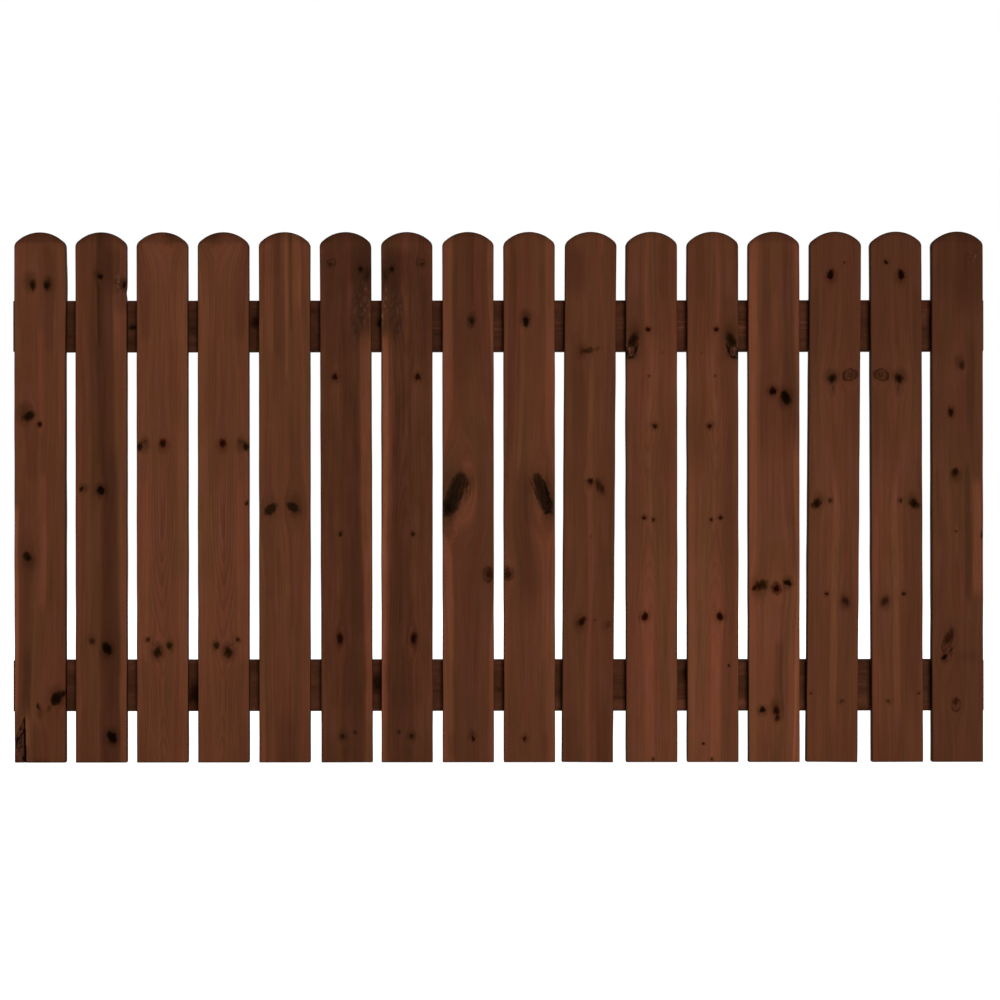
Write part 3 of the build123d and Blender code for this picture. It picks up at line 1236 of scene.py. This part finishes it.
class PineShop:
    """Builds the shared node groups once and mixes a material for each board."""

    def __init__(self, finish: StainedPine) -> None:
        """Builds the groups.

        Args:
            finish: the colours and strengths of the finish.
        """
        self.finish = finish
        self.knot = finish.knot_group()
        self.streak = finish.streak_group()
        self.torn = finish.torn_group()
        self.grain = finish.grain_group()
        self.stain = finish.stain_group()

    def knots(self, graph: Graph, look: BoardLook, spot: Socket, seeded: Socket) -> dict[str, object]:
        """Adds a board's knots, one after another, with ragged outlines.

        Args:
            graph: the material's nodes.
            look: what the board shows.
            spot: the place on the board.
            seeded: the same place, moved so that each board's noise is its own.

        Returns:
            The masks of all the knots by name.
        """
        ragged = graph.node("ShaderNodeTexNoise")
        graph.feed(ragged.inputs["Vector"], graph.vector("MULTIPLY", seeded, (0.15, 0.15, 0.10)))
        graph.feed(ragged.inputs["Scale"], 1.0)
        graph.feed(ragged.inputs["Detail"], 4.0)
        graph.feed(ragged.inputs["Roughness"], 0.62)
        pushed = graph.vector("SUBTRACT", ragged.outputs["Color"], (0.5, 0.5, 0.5))
        ragged_spot = graph.vector("ADD", spot, graph.vector("MULTIPLY", pushed, (9.0, 0.0, 11.0)))
        masks: dict[str, object] = {"Core": 0.0, "Halo": 0.0, "Ruddy": 0.0, "Bend": 0.0, "Near": 9.0}
        for knot in look.knots:
            dark, hollow, firm, red = knot.kind.value
            lean = math.radians(knot.lean)
            masks = graph.use(
                self.knot,
                place=ragged_spot,
                across=knot.across,
                up=knot.up,
                half_wide=knot.wide / 2,
                half_tall=knot.tall / 2,
                sine=math.sin(lean),
                cosine=math.cos(lean),
                dark=dark,
                hollow=hollow,
                firm=firm,
                red=red,
                smear_across=knot.smear[0],
                smear_up=knot.smear[1],
                core=masks["Core"],
                halo=masks["Halo"],
                ruddy=masks["Ruddy"],
                bend=masks["Bend"],
                near=masks["Near"],
            )
        return masks

    def tones(
        self, graph: Graph, look: BoardLook, spot: Socket, seeded: Socket, along_grain: Socket
    ) -> dict[str, object]:
        """Adds up a board's own tone, its streaks and its torn patches.

        Args:
            graph: the material's nodes.
            look: what the board shows.
            spot: the place on the board.
            seeded: the same place, moved so that each board's noise is its own.
            along_grain: the place across the board, following the grain.

        Returns:
            The tone in stops, how red the wood is and how bare, by name.
        """
        sums: dict[str, object] = {"Stops": look.tone, "Red": 0.0}
        up = graph.parts(spot)[2]
        for streak in look.streaks:
            sums = graph.use(
                self.streak,
                along_grain=along_grain,
                up=up,
                at=streak.across,
                drift=streak.drift * MM,
                half_wide=streak.wide / 2,
                low=streak.low,
                high=streak.high,
                fade=streak.fade,
                tone=streak.tone,
                redness=streak.red,
                stops=sums["Stops"],
                red=sums["Red"],
            )
        torn_sums: dict[str, object] = {"Stops": sums["Stops"], "Bare": 0.0}
        for torn in look.torn:
            torn_sums = graph.use(
                self.torn,
                place=spot,
                seeded=seeded,
                across=torn.across,
                up=torn.up,
                half_wide=torn.wide / 2,
                half_tall=torn.tall / 2,
                dark=torn.dark,
                fleck=torn.fleck,
                stops=torn_sums["Stops"],
                bare=torn_sums["Bare"],
            )
        return torn_sums | {"Red": sums["Red"]}

    def material(self, name: str, look: BoardLook, place: Matrix, crown: float) -> bpy.types.Material:
        """Makes the material of one board.

        Args:
            name: the board's name.
            look: what the board shows.
            place: where the board's own frame lies in the panel.
            crown: the height of its rounded head's top, in millimetres.

        Returns:
            The new material.
        """
        made = bpy.data.materials.new(f"{name}_pine")
        made.use_nodes = True
        graph = Graph(made.node_tree)
        shader = made.node_tree.nodes["Principled BSDF"]
        spot = graph.on_board(place, -1.0 if look.mirrored else 1.0)
        seeded = graph.vector("ADD", spot, (0.0, 0.0, look.seed * 1370.0))
        masks = self.knots(graph, look, spot, seeded)
        grain = graph.use(
            self.grain,
            place=spot,
            bend=masks["Bend"],
            seed=look.seed,
            pith=look.pith,
            pith_deep=look.pith_deep,
            ring_gap=look.ring_gap,
            arch_up=look.arch.up,
            arch_reach=look.arch.reach,
            arch_rise=look.arch.rise,
        )
        tones = self.tones(graph, look, spot, seeded, grain["Along grain"])
        stained = graph.use(
            self.stain,
            tone=tones["Stops"],
            redness=tones["Red"],
            bare=tones["Bare"],
            ring_tone=look.ring_tone,
            blotch=look.blotch,
            head_tone=look.head_tone,
            crown=crown,
            spot=spot,
            rings=grain["Rings"],
            fibre=grain["Fibre"],
            strip=grain["Strip"],
            band=grain["Band"],
            mottle=grain["Mottle"],
            hue=grain["Hue"],
            core=masks["Core"],
            halo=masks["Halo"],
            ruddy=masks["Ruddy"],
            near=masks["Near"],
            sawn=grain["Sawn"],
            rough=look.rough,
            normal=graph.board_normal(place),
        )
        bump = graph.node("ShaderNodeBump")
        graph.feed(bump.inputs["Distance"], MM)
        graph.feed(bump.inputs["Height"], stained["Height"])
        graph.feed(shader.inputs["Base Color"], stained["Colour"])
        graph.feed(shader.inputs["Roughness"], stained["Roughness"])
        graph.feed(shader.inputs["Normal"], bump.outputs[0])
        shader.inputs["Specular IOR Level"].default_value = self.finish.shine
        return made


def finished_mesh(name: str, bm: bmesh.types.BMesh) -> bpy.types.Object:
    """Makes an object of a bmesh, smooth shaded and linked to the scene.

    Args:
        name: the object's name.
        bm: the bmesh, which is freed.

    Returns:
        The new object.
    """
    for face in bm.faces:
        face.smooth = True
    mesh = bpy.data.meshes.new(name)
    bm.to_mesh(mesh)
    bm.free()
    made = bpy.data.objects.new(name, mesh)
    bpy.context.scene.collection.objects.link(made)
    return made


@dataclass
class Blank:
    """A board before it gets its knots and its place: a planed outline with rounded edges, cut into a fine net."""

    half_wide: float
    length: float
    thick: float
    arris: float
    back_ease: float
    end_ease: float
    net: float
    head_rise: float = 0.0
    shoulder: float = 0.0

    def outline(self, bm: bmesh.types.BMesh) -> bmesh.types.BMFace:
        """Draws the board's front face, with its rounded head where it has one.

        Args:
            bm: the bmesh to draw in.

        Returns:
            The face.
        """
        last = bm.verts.new((self.half_wide, 0.0, 0.0))
        first = last
        if self.head_rise:
            rise = self.head_rise
            head = (self.half_wide**2 + rise**2) / (2 * rise)
            aside = self.half_wide - self.shoulder
            above = math.sqrt((head - self.shoulder) ** 2 - aside**2)
            head_z = self.length - head
            blend = math.atan2(above, aside)
            turns = (
                (aside, head_z + above, blend, 8),
                (0.0, head_z, math.pi - 2 * blend, 28),
                (-aside, head_z + above, blend, 8),
            )
            last = self.drawn_to(bm, last, (self.half_wide, 0.0, head_z + above))
            for centre_x, centre_z, angle, steps in turns:
                spun = bmesh.ops.spin(
                    bm,
                    geom=[last],
                    cent=(centre_x, 0.0, centre_z),
                    axis=(0.0, 1.0, 0.0),
                    angle=-angle,
                    steps=steps,
                    use_merge=False,
                )
                last = next(item for item in spun["geom_last"] if isinstance(item, bmesh.types.BMVert))
        else:
            last = self.drawn_to(bm, last, (self.half_wide, 0.0, self.length))
            last = self.drawn_to(bm, last, (-self.half_wide, 0.0, self.length))
        last = self.drawn_to(bm, last, (-self.half_wide, 0.0, 0.0))
        bmesh.ops.contextual_create(bm, geom=[last, first])
        return bmesh.ops.contextual_create(bm, geom=bm.edges[:])["faces"][0]

    @staticmethod
    def drawn_to(bm: bmesh.types.BMesh, last: bmesh.types.BMVert, place: Colour) -> bmesh.types.BMVert:
        """Draws a straight edge.

        Args:
            bm: the bmesh to draw in.
            last: the corner to start from.
            place: where the edge ends.

        Returns:
            The new corner.
        """
        corner = bmesh.ops.extrude_vert_indiv(bm, verts=[last])["verts"][0]
        corner.co = place
        return corner

    def planed(self) -> bmesh.types.BMesh:
        """Makes the board: outline, thickness, rounded edges and a net fine enough for its relief.

        Returns:
            The board's bmesh in its own frame, in metres.
        """
        bm = bmesh.new()
        face = self.outline(bm)
        grown = bmesh.ops.extrude_face_region(bm, geom=[face])["geom"]
        backs = [item for item in grown if isinstance(item, bmesh.types.BMVert)]
        bmesh.ops.translate(bm, vec=(0.0, self.thick, 0.0), verts=backs)
        bmesh.ops.recalc_face_normals(bm, faces=bm.faces[:])
        self.round_rim(bm, 0.0, self.arris, 4)
        self.round_rim(bm, self.thick, self.back_ease, 2)
        self.ease_ends(bm)
        for axis, start, end in ((0, -self.half_wide, self.half_wide), (2, 0.0, self.length)):
            self.cut(bm, axis, start, end)
        return bm

    def round_rim(self, bm: bmesh.types.BMesh, deep: float, radius: float, segments: int) -> None:
        """Rounds the edges around one broad face, apart from the sawn ends.

        Args:
            bm: the board.
            deep: the face's depth.
            radius: the rounding.
            segments: the rounding's steps.
        """
        close = 1e-5

        def on_rim(edge: bmesh.types.BMEdge) -> bool:
            """Tells whether an edge lies in the face and isn't a square-sawn end."""
            ends = [vert.co for vert in edge.verts]
            if any(abs(co.y - deep) > close for co in ends):
                return False
            at_foot = all(co.z < close for co in ends)
            at_square_top = not self.head_rise and all(co.z > self.length - close for co in ends)
            return not at_foot and not at_square_top

        bmesh.ops.bevel(
            bm,
            geom=[edge for edge in bm.edges if on_rim(edge)],
            offset=radius,
            segments=segments,
            profile=0.5,
            affect="EDGES",
            material=-1,
            clamp_overlap=True,
        )

    def ease_ends(self, bm: bmesh.types.BMesh) -> None:
        """Takes the sharpness off the square-sawn ends.

        Args:
            bm: the board.
        """
        close = 1e-5
        ends = (0.0,) if self.head_rise else (0.0, self.length)
        for end in ends:
            bmesh.ops.bevel(
                bm,
                geom=[edge for edge in bm.edges if all(abs(vert.co.z - end) < close for vert in edge.verts)],
                offset=self.end_ease,
                segments=2,
                profile=0.5,
                affect="EDGES",
                material=-1,
                clamp_overlap=True,
            )

    def cut(self, bm: bmesh.types.BMesh, axis: int, start: float, end: float) -> None:
        """Cuts the board's faces into strips across one axis.

        Args:
            bm: the board.
            axis: the axis along which the cuts follow each other.
            start: where the board begins.
            end: where it ends.
        """
        strips = max(1, round((end - start) / self.net))
        normal = Vector((0.0, 0.0, 0.0))
        normal[axis] = 1.0
        for step in range(1, strips):
            bmesh.ops.bisect_plane(
                bm,
                geom=bm.verts[:] + bm.edges[:] + bm.faces[:],
                dist=1e-6,
                plane_co=normal * (start + (end - start) * step / strips),
                plane_no=normal,
            )


@dataclass
class BarkCorner:
    """The corner of the first picket where the log's own bark was left on, behind a long crack."""

    tip: tuple[float, float] = (-28.5, 86.0)
    crack_foot: float = -25.0
    edge_up: float = 43.0
    crack_wide: float = 5.5
    crack_deep: float = 4.6
    bark_deep: float = 1.5
    rough: float = 1.3
    margin: float = 8.0
    reach_deep: float = 9.0

    def crack(self, up: float) -> float:
        """Finds where the crack runs at a height."""
        along = self.crack_foot + (self.tip[0] - self.crack_foot) * up / self.tip[1]
        return along + 0.9 * noise.noise(Vector((0.0, 3.0, up * 0.13)))

    def rim(self, across: float, half_wide: float) -> float:
        """Finds how high the bark reaches at a place across the board.

        Args:
            across: the place across the board.
            half_wide: half of the board's width.

        Returns:
            The height of the bark's ragged upper edge.
        """
        share = (across + half_wide) / (self.tip[0] + half_wide)
        straight = self.edge_up + (self.tip[1] - self.edge_up) * share
        return straight + 6.0 * noise.noise(Vector((across * 0.35, 7.0, 0.0)))

    def holds(self, across: float, up: float, half_wide: float) -> bool:
        """Tells whether a place lies in the bark."""
        return across < self.crack(up) and up < self.rim(across, half_wide)

    def depth(self, across: float, up: float, half_wide: float) -> float:
        """Works out how deep the bark lies below the board's face.

        Args:
            across: the place across the board.
            up: its height above the foot.
            half_wide: half of the board's width.

        Returns:
            The depth in millimetres, which is none outside the bark.
        """
        if not self.holds(across, up, half_wide):
            return 0.0
        if self.crack(up) - across < self.crack_wide * (1.0 - 0.6 * up / self.tip[1]):
            return self.crack_deep
        scale = noise.fractal(Vector((across * 0.22, 11.0, up * 0.13)), 1.0, 2.0, 3)
        lip = max(0.0, 1.0 - (self.rim(across, half_wide) - up) / 3.0)
        return max(0.3, self.bark_deep + self.rough * scale + lip)

    def carve(self, bm: bmesh.types.BMesh, half_wide: float, material: int) -> None:
        """Carves the bark into a board's corner.

        Args:
            bm: the board in its own frame.
            half_wide: half of the board's width, in millimetres.
            material: the bark's material slot.
        """

        def close_by(vert: bmesh.types.BMVert) -> bool:
            """Tells whether a corner of the net is near the bark."""
            across, deep, up = vert.co / MM
            beside = across < self.crack_foot + self.margin and up < self.tip[1] + self.margin
            return beside and deep < self.reach_deep

        near = [edge for edge in bm.edges if all(close_by(vert) for vert in edge.verts)]
        bmesh.ops.subdivide_edges(bm, edges=near, cuts=3, use_grid_fill=True)
        for face in bm.faces:
            across, deep, up = face.calc_center_median() / MM
            if deep < self.reach_deep and self.holds(across, up, half_wide):
                face.material_index = material
        for vert in bm.verts:
            across, deep, up = vert.co / MM
            if deep < self.reach_deep:
                fade = 1.0 - deep / self.reach_deep
                vert.co.y += MM * fade * self.depth(across, up, half_wide)


@dataclass
class Board:
    """One board of the panel, made from a blank and set over the solid that it stands for."""

    node: str
    look: BoardLook
    place: Matrix
    half_wide: float
    crown: float
    bark: BarkCorner | None = None
    knot_swell: float = 0.35
    knot_groove: float = 0.22
    tear: float = 0.45
    edge_wander: float = 0.45

    def near_knot(self, knot: Knot, across: float, up: float) -> float:
        """Works out how far a place is from a knot's middle.

        Args:
            knot: the knot.
            across: the place across the board.
            up: its height above the foot.

        Returns:
            The distance, which is 1 at the knot's rim.
        """
        lean = math.radians(knot.lean)
        aside = across - knot.across
        above = up - knot.up
        along = (aside * math.sin(lean) + above * math.cos(lean)) / (knot.tall / 2)
        abeam = (aside * math.cos(lean) - above * math.sin(lean)) / (knot.wide / 2)
        return math.hypot(along, abeam)

    def relief(self, across: float, up: float) -> float:
        """Works out how far the front face stands out at a place.

        Args:
            across: the place across the board, on its own side of the log.
            up: its height above the foot.

        Returns:
            The relief in millimetres.
        """
        out = 0.0
        for knot in self.look.knots:
            far = self.near_knot(knot, across, up)
            if far < 1.6:
                out += self.knot_swell * max(0.0, 1.0 - far * far) ** 2
                out -= self.knot_groove * math.exp(-(((far - 1.05) / 0.2) ** 2))
        for torn in self.look.torn:
            far = math.hypot((across - torn.across) / torn.wide * 2, (up - torn.up) / torn.tall * 2)
            if far < 1.15:
                shred = noise.fractal(Vector((across * 0.3, self.look.seed, up * 0.09)), 1.0, 2.0, 3)
                out += self.tear * shred * min(1.0, (1.15 - far) / 0.35)
        return out

    def swelling(self, across: float, up: float) -> float:
        """Works out how far an edge swells at a height.

        Args:
            across: the place across the board, on its own side of the log.
            up: its height above the foot.

        Returns:
            The move across, in millimetres.
        """
        moves = (
            swell.side * swell.out * math.exp(-(((up - swell.up) / swell.reach) ** 2))
            for swell in self.look.swells
            if swell.side * across > 0.0
        )
        return sum(moves)

    def refine(self, bm: bmesh.types.BMesh, side: float) -> None:
        """Cuts the net finer around the knots and torn patches of the front face.

        Args:
            bm: the board in its own frame.
            side: -1 where the board shows its look mirrored.
        """
        flush = 0.01 * MM

        def fine(edge: bmesh.types.BMEdge) -> bool:
            """Tells whether an edge lies at a knot or a torn patch."""
            if any(vert.co.y > flush for vert in edge.verts):
                return False
            middle = (edge.verts[0].co + edge.verts[1].co) / (2 * MM)
            if any(self.near_knot(knot, side * middle.x, middle.z) < 1.7 for knot in self.look.knots):
                return True
            return any(
                abs(side * middle.x - torn.across) < torn.wide / 2 and abs(middle.z - torn.up) < torn.tall / 2
                for torn in self.look.torn
            )

        bmesh.ops.subdivide_edges(bm, edges=[edge for edge in bm.edges if fine(edge)], cuts=2, use_grid_fill=True)

    def build(self, blank: bmesh.types.BMesh, shop: PineShop) -> bpy.types.Object:
        """Makes the board's mesh and dresses it.

        Args:
            blank: the planed board in its own frame.
            shop: where its material is mixed.

        Returns:
            The finished object.
        """
        bm = blank.copy()
        side = -1.0 if self.look.mirrored else 1.0
        self.refine(bm, side)
        flush = 0.01 * MM
        arris = 5.0
        for vert in bm.verts:
            across, _, up = vert.co / MM
            if vert.co.y < flush:
                vert.co.y -= MM * self.relief(side * across, up)
            if abs(across) > self.half_wide - arris:
                hand = math.copysign(4.0, across)
                wave = noise.noise(Vector((hand, self.look.seed * 9.0, up * 0.012)))
                vert.co.x += MM * (self.edge_wander * wave + self.swelling(side * across, up) * side)
        if self.bark:
            self.bark.carve(bm, self.half_wide, 1)
        bmesh.ops.recalc_face_normals(bm, faces=bm.faces[:])
        bmesh.ops.transform(bm, matrix=self.place, verts=bm.verts[:])
        made = finished_mesh(f"{self.node}_board", bm)
        made.data.materials.append(shop.material(self.node, self.look, self.place, self.crown))
        if self.bark:
            made.data.materials.append(Bark().material(self.place))
        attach(made, BODY)
        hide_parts(self.node)
        return made


@dataclass(frozen=True)
class YellowZinc:
    """The finish of the screws: dull yellow zinc plate."""

    plate: Colour = (0.42, 0.31, 0.14)
    roughness: float = 0.42

    def material(self) -> bpy.types.Material:
        """Makes the screws' material.

        Returns:
            The new material.
        """
        made = bpy.data.materials.new("yellow_zinc")
        made.use_nodes = True
        shader = made.node_tree.nodes["Principled BSDF"]
        shader.inputs["Base Color"].default_value = self.plate + (1.0,)
        shader.inputs["Metallic"].default_value = 1.0
        shader.inputs["Roughness"].default_value = self.roughness
        return made


@dataclass
class ScrewRow:
    """The countersunk screws that hold the pickets, two at each crossing, driven in through the back of one rail."""

    rail: str
    crossings: list[float]
    head_radius: float = 3.8 * MM
    shank_radius: float = 2.0 * MM
    head_deep: float = 3.0 * MM
    proud: float = 0.15 * MM
    socket_radius: float = 1.7 * MM
    socket_deep: float = 1.6 * MM
    lobes: int = 6
    lobe_depth: float = 0.16
    segments: int = 36
    aside: float = 20.0 * MM
    above: float = 23.0 * MM
    turn: float = 37.0

    def head(self, bm: bmesh.types.BMesh) -> list[bmesh.types.BMVert]:
        """Makes one screw head that faces up, with a star socket.

        Args:
            bm: the bmesh to make it in.

        Returns:
            Its corners.
        """
        bmesh.ops.create_cone(
            bm,
            cap_ends=True,
            segments=self.segments,
            radius1=self.shank_radius,
            radius2=self.head_radius,
            depth=self.head_deep,
        )
        bmesh.ops.translate(bm, vec=(0.0, 0.0, self.proud - self.head_deep / 2), verts=bm.verts[:])
        top = max(bm.faces, key=lambda face: face.calc_center_median().z)
        bmesh.ops.inset_region(bm, faces=[top], thickness=self.head_radius - self.socket_radius)
        for vert in top.verts:
            around = math.atan2(vert.co.y, vert.co.x)
            vert.co.xy *= 1.0 + self.lobe_depth * math.cos(self.lobes * around)
        floor = bmesh.ops.extrude_face_region(bm, geom=[top])["geom"]
        sunk = [item for item in floor if isinstance(item, bmesh.types.BMVert)]
        bmesh.ops.translate(bm, vec=(0.0, 0.0, -self.socket_deep), verts=sunk)
        bmesh.ops.delete(bm, geom=[top], context="FACES_ONLY")
        return bm.verts[:]

    def build(self) -> bpy.types.Object:
        """Makes the whole row as one piece.

        Returns:
            The finished object.
        """
        low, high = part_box(self.rail)
        middle = (low.z + high.z) / 2
        bm = bmesh.new()
        first = self.head(bm)
        pattern = bm.verts[:] + bm.edges[:] + bm.faces[:]
        to_back = Matrix.Rotation(-math.pi / 2, 4, "X")
        places = [(across + hand * self.aside, middle + hand * self.above) for across in self.crossings for hand in (-1, 1)]
        for number, (across, up) in enumerate(places):
            copied = bmesh.ops.duplicate(bm, geom=pattern)["geom"]
            turned = Matrix.Rotation(math.radians(self.turn * number), 4, "Z")
            place = Matrix.Translation((across, high.y, up)) @ to_back @ turned
            verts = [item for item in copied if isinstance(item, bmesh.types.BMVert)]
            bmesh.ops.transform(bm, matrix=place, verts=verts)
        bmesh.ops.delete(bm, geom=first, context="VERTS")
        bmesh.ops.recalc_face_normals(bm, faces=bm.faces[:])
        made = finished_mesh(f"{self.rail}_screws", bm)
        made.data.shade_flat()
        made.data.materials.append(YellowZinc().material())
        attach(made, BODY)
        return made


@dataclass
class Panel:
    """The whole panel: its pickets and rails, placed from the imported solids."""

    nodes: dict[str, bpy.types.Object]
    shop: PineShop
    picket_arris: float = 3.0 * MM
    rail_arris: float = 3.0 * MM
    back_ease: float = 1.0 * MM
    end_ease: float = 1.2 * MM
    head_rise: float = 22.0 * MM
    shoulder: float = 14.0 * MM
    picket_net: float = 5.0 * MM
    rail_net: float = 12.0 * MM
    foot_band: float = 2.0 * MM
    bark_picket: int = 1
    pickets: list[str] = field(default_factory=list)

    def __post_init__(self) -> None:
        """Lists the pickets from left to right."""
        self.pickets = sorted(name for name in self.nodes if name.startswith("picket_"))

    def foot(self, name: str) -> Vector:
        """Finds the middle of a picket's foot, on its front face.

        Args:
            name: the picket's node.

        Returns:
            The place in the panel's frame.
        """
        low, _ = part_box(name)
        sole = [vert.co.x for vert in self.nodes[name].data.vertices if vert.co.z < low.z + self.foot_band]
        return Vector(((min(sole) + max(sole)) / 2, low.y, low.z))

    def picket_place(self, number: int) -> Matrix:
        """Finds where a picket's own frame lies: it hangs from the top rail and may stand out of plumb.

        Args:
            number: the picket, counted from the left.

        Returns:
            The picket's frame, with its foot at the origin and its front face at zero depth.
        """
        first = self.foot(self.pickets[0])
        last = self.foot(self.pickets[-1])
        share = (number - 1) / (len(self.pickets) - 1)
        plumb = first.lerp(last, share)
        foot = self.foot(self.pickets[number - 1])
        rail_low, rail_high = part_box("top_rail")
        drop = (rail_low.z + rail_high.z) / 2 - first.z
        lean = math.atan2(foot.x - plumb.x, drop)
        hung = Matrix.Translation((plumb.x, plumb.y, first.z + drop)) @ Euler((0.0, -lean, 0.0)).to_matrix().to_4x4()
        return hung @ Matrix.Translation((0.0, 0.0, -drop))

    def build(self) -> None:
        """Makes every board."""
        low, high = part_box(self.pickets[0])
        blank = Blank(
            half_wide=(high.x - low.x) / 2,
            length=high.z - low.z,
            thick=high.y - low.y,
            arris=self.picket_arris,
            back_ease=self.back_ease,
            end_ease=self.end_ease,
            net=self.picket_net,
            head_rise=self.head_rise,
            shoulder=self.shoulder,
        ).planed()
        for number, name in enumerate(self.pickets, 1):
            board = Board(
                node=name,
                look=LOOKS[number],
                place=self.picket_place(number),
                half_wide=(high.x - low.x) / (2 * MM),
                crown=(high.z - low.z) / MM,
                bark=BarkCorner() if number == self.bark_picket else None,
            )
            made = board.build(blank, self.shop)
            LOG.info("%s: %d faces", made.name, len(made.data.polygons))
        blank.free()
        for name, look in RAIL_LOOKS.items():
            low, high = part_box(name)
            middle = Vector((low.x, low.y, (low.z + high.z) / 2))
            place = Matrix.Translation(middle) @ Euler((0.0, math.pi / 2, 0.0)).to_matrix().to_4x4()
            blank = Blank(
                half_wide=(high.z - low.z) / 2,
                length=high.x - low.x,
                thick=high.y - low.y,
                arris=self.rail_arris,
                back_ease=self.rail_arris,
                end_ease=self.end_ease,
                net=self.rail_net,
            ).planed()
            made = Board(
                node=name,
                look=look,
                place=place,
                half_wide=(high.z - low.z) / (2 * MM),
                crown=FAR_ABOVE,
                edge_wander=0.0,
            ).build(blank, self.shop)
            blank.free()
            LOG.info("%s: %d faces", made.name, len(made.data.polygons))
            screws = ScrewRow(name, self.crossings(middle.z)).build()
            LOG.info("%s: %d faces", screws.name, len(screws.data.polygons))

    def crossings(self, height: float) -> list[float]:
        """Finds where the pickets' middles lie at a height.

        Args:
            height: the height in the panel's frame.

        Returns:
            The places along the panel.
        """
        places = [self.picket_place(number) for number in range(1, len(self.pickets) + 1)]
        return [(place @ Vector((0.0, 0.0, height - place.translation.z))).x for place in places]


@dataclass
class Studio:
    """The white room: floor, sky, lamps and the camera in front of the panel."""

    distance: float = 4.2
    frame_wide: float = 1.8468
    aside: float = 0.0023
    off_axis: float = 0.11
    below_middle: float = 0.0052
    roll: float = 0.05
    film: float = 36.0
    floor_drop: float = 0.0005
    floor_wide: float = 60.0
    sky_fill: float = 0.10
    floor_white: float = 0.92

    def build(self, low: Vector, high: Vector) -> None:
        """Sets up the room around the panel.

        Args:
            low: the panel's lowest corner.
            high: its highest corner.
        """
        self.camera(low, high)
        self.sky()
        self.floor(low)
        self.lamps(low, high)
        bpy.context.scene.view_settings.view_transform = "Standard"

    def camera(self, low: Vector, high: Vector) -> None:
        """Puts the camera straight in front of the panel's middle.

        Args:
            low: the panel's lowest corner.
            high: its highest corner.
        """
        data = bpy.data.cameras.new("camera")
        data.sensor_width = self.film
        data.lens = self.film * self.distance / self.frame_wide
        data.shift_x = self.off_axis / self.frame_wide
        made = bpy.data.objects.new("camera", data)
        middle = (low + high) / 2
        left = self.off_axis - self.aside
        made.location = (middle.x - left, low.y - self.distance, middle.z - self.below_middle)
        made.rotation_euler = (math.pi / 2, math.radians(self.roll), 0.0)
        bpy.context.scene.collection.objects.link(made)
        bpy.context.scene.camera = made

    def sky(self) -> None:
        """Makes the world white to look at and a soft fill for everything else."""
        world = bpy.data.worlds.new("studio")
        world.use_nodes = True
        bpy.context.scene.world = world
        graph = Graph(world.node_tree)
        backdrop = world.node_tree.nodes["Background"]
        path = graph.node("ShaderNodeLightPath")
        seen = graph.math("MAXIMUM", path.outputs["Is Camera Ray"], path.outputs["Is Glossy Ray"])
        seen = graph.math("MAXIMUM", seen, path.outputs["Is Transmission Ray"])
        graph.feed(backdrop.inputs["Strength"], graph.fused(seen, 1.0 - self.sky_fill, self.sky_fill))
        backdrop.inputs["Color"].default_value = (1.0, 1.0, 1.0, 1.0)

    def floor(self, low: Vector) -> None:
        """Lays a pale floor that keeps the panel's soft shadow.

        Args:
            low: the panel's lowest corner.
        """
        bm = bmesh.new()
        bmesh.ops.create_grid(bm, x_segments=4, y_segments=4, size=self.floor_wide / 2)
        bmesh.ops.translate(bm, vec=(0.0, 0.0, low.z - self.floor_drop), verts=bm.verts[:])
        made = finished_mesh("studio_floor", bm)
        finish = bpy.data.materials.new("pale_floor")
        finish.use_nodes = True
        graph = Graph(finish.node_tree)
        shader = finish.node_tree.nodes["Principled BSDF"]
        shader.inputs["Base Color"].default_value = (0.8, 0.8, 0.8, 1.0)
        shader.inputs["Roughness"].default_value = 0.9
        shader.inputs["Specular IOR Level"].default_value = 0.0
        path = graph.node("ShaderNodeLightPath")
        seen = graph.math("MAXIMUM", path.outputs["Is Camera Ray"], path.outputs["Is Glossy Ray"])
        seen = graph.math("MAXIMUM", seen, path.outputs["Is Transmission Ray"])
        shader.inputs["Emission Color"].default_value = (1.0, 1.0, 1.0, 1.0)
        graph.feed(shader.inputs["Emission Strength"], graph.times(seen, self.floor_white))
        made.data.materials.append(finish)
        made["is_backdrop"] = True

    def lamps(self, low: Vector, high: Vector) -> None:
        """Hangs a wide soft lamp in front of the panel and weaker ones behind it and at its ends.

        Args:
            low: the panel's lowest corner.
            high: its highest corner.
        """
        middle = (low + high) / 2
        for name, place, wide, power in (
            ("front_softbox", Vector((4.2, -17.2, 0.6)), 8.0, 4000.0),
            ("back_softbox", Vector((0.9, 5.6, 2.6)), 3.0, 130.0),
            ("left_softbox", Vector((-6.0, 1.4, 0.8)), 2.4, 170.0),
            ("right_softbox", Vector((6.0, 1.4, 0.8)), 2.4, 170.0),
        ):
            data = bpy.data.lights.new(name, "AREA")
            data.shape = "SQUARE"
            data.size = wide
            data.energy = power
            made = bpy.data.objects.new(name, data)
            made.location = middle + place
            made.rotation_euler = (middle - made.location).to_track_quat("-Z", "Y").to_euler()
            bpy.context.scene.collection.objects.link(made)


def main() -> None:
    """Builds the panel and its studio in order."""
    logging.basicConfig(level=logging.INFO, format="%(message)s")
    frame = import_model()
    cad_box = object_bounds()
    Panel(frame["nodes"], PineShop(StainedPine())).build()
    Studio().build(Vector(cad_box[0]), Vector(cad_box[1]))


if __name__ == "__main__":
    main()
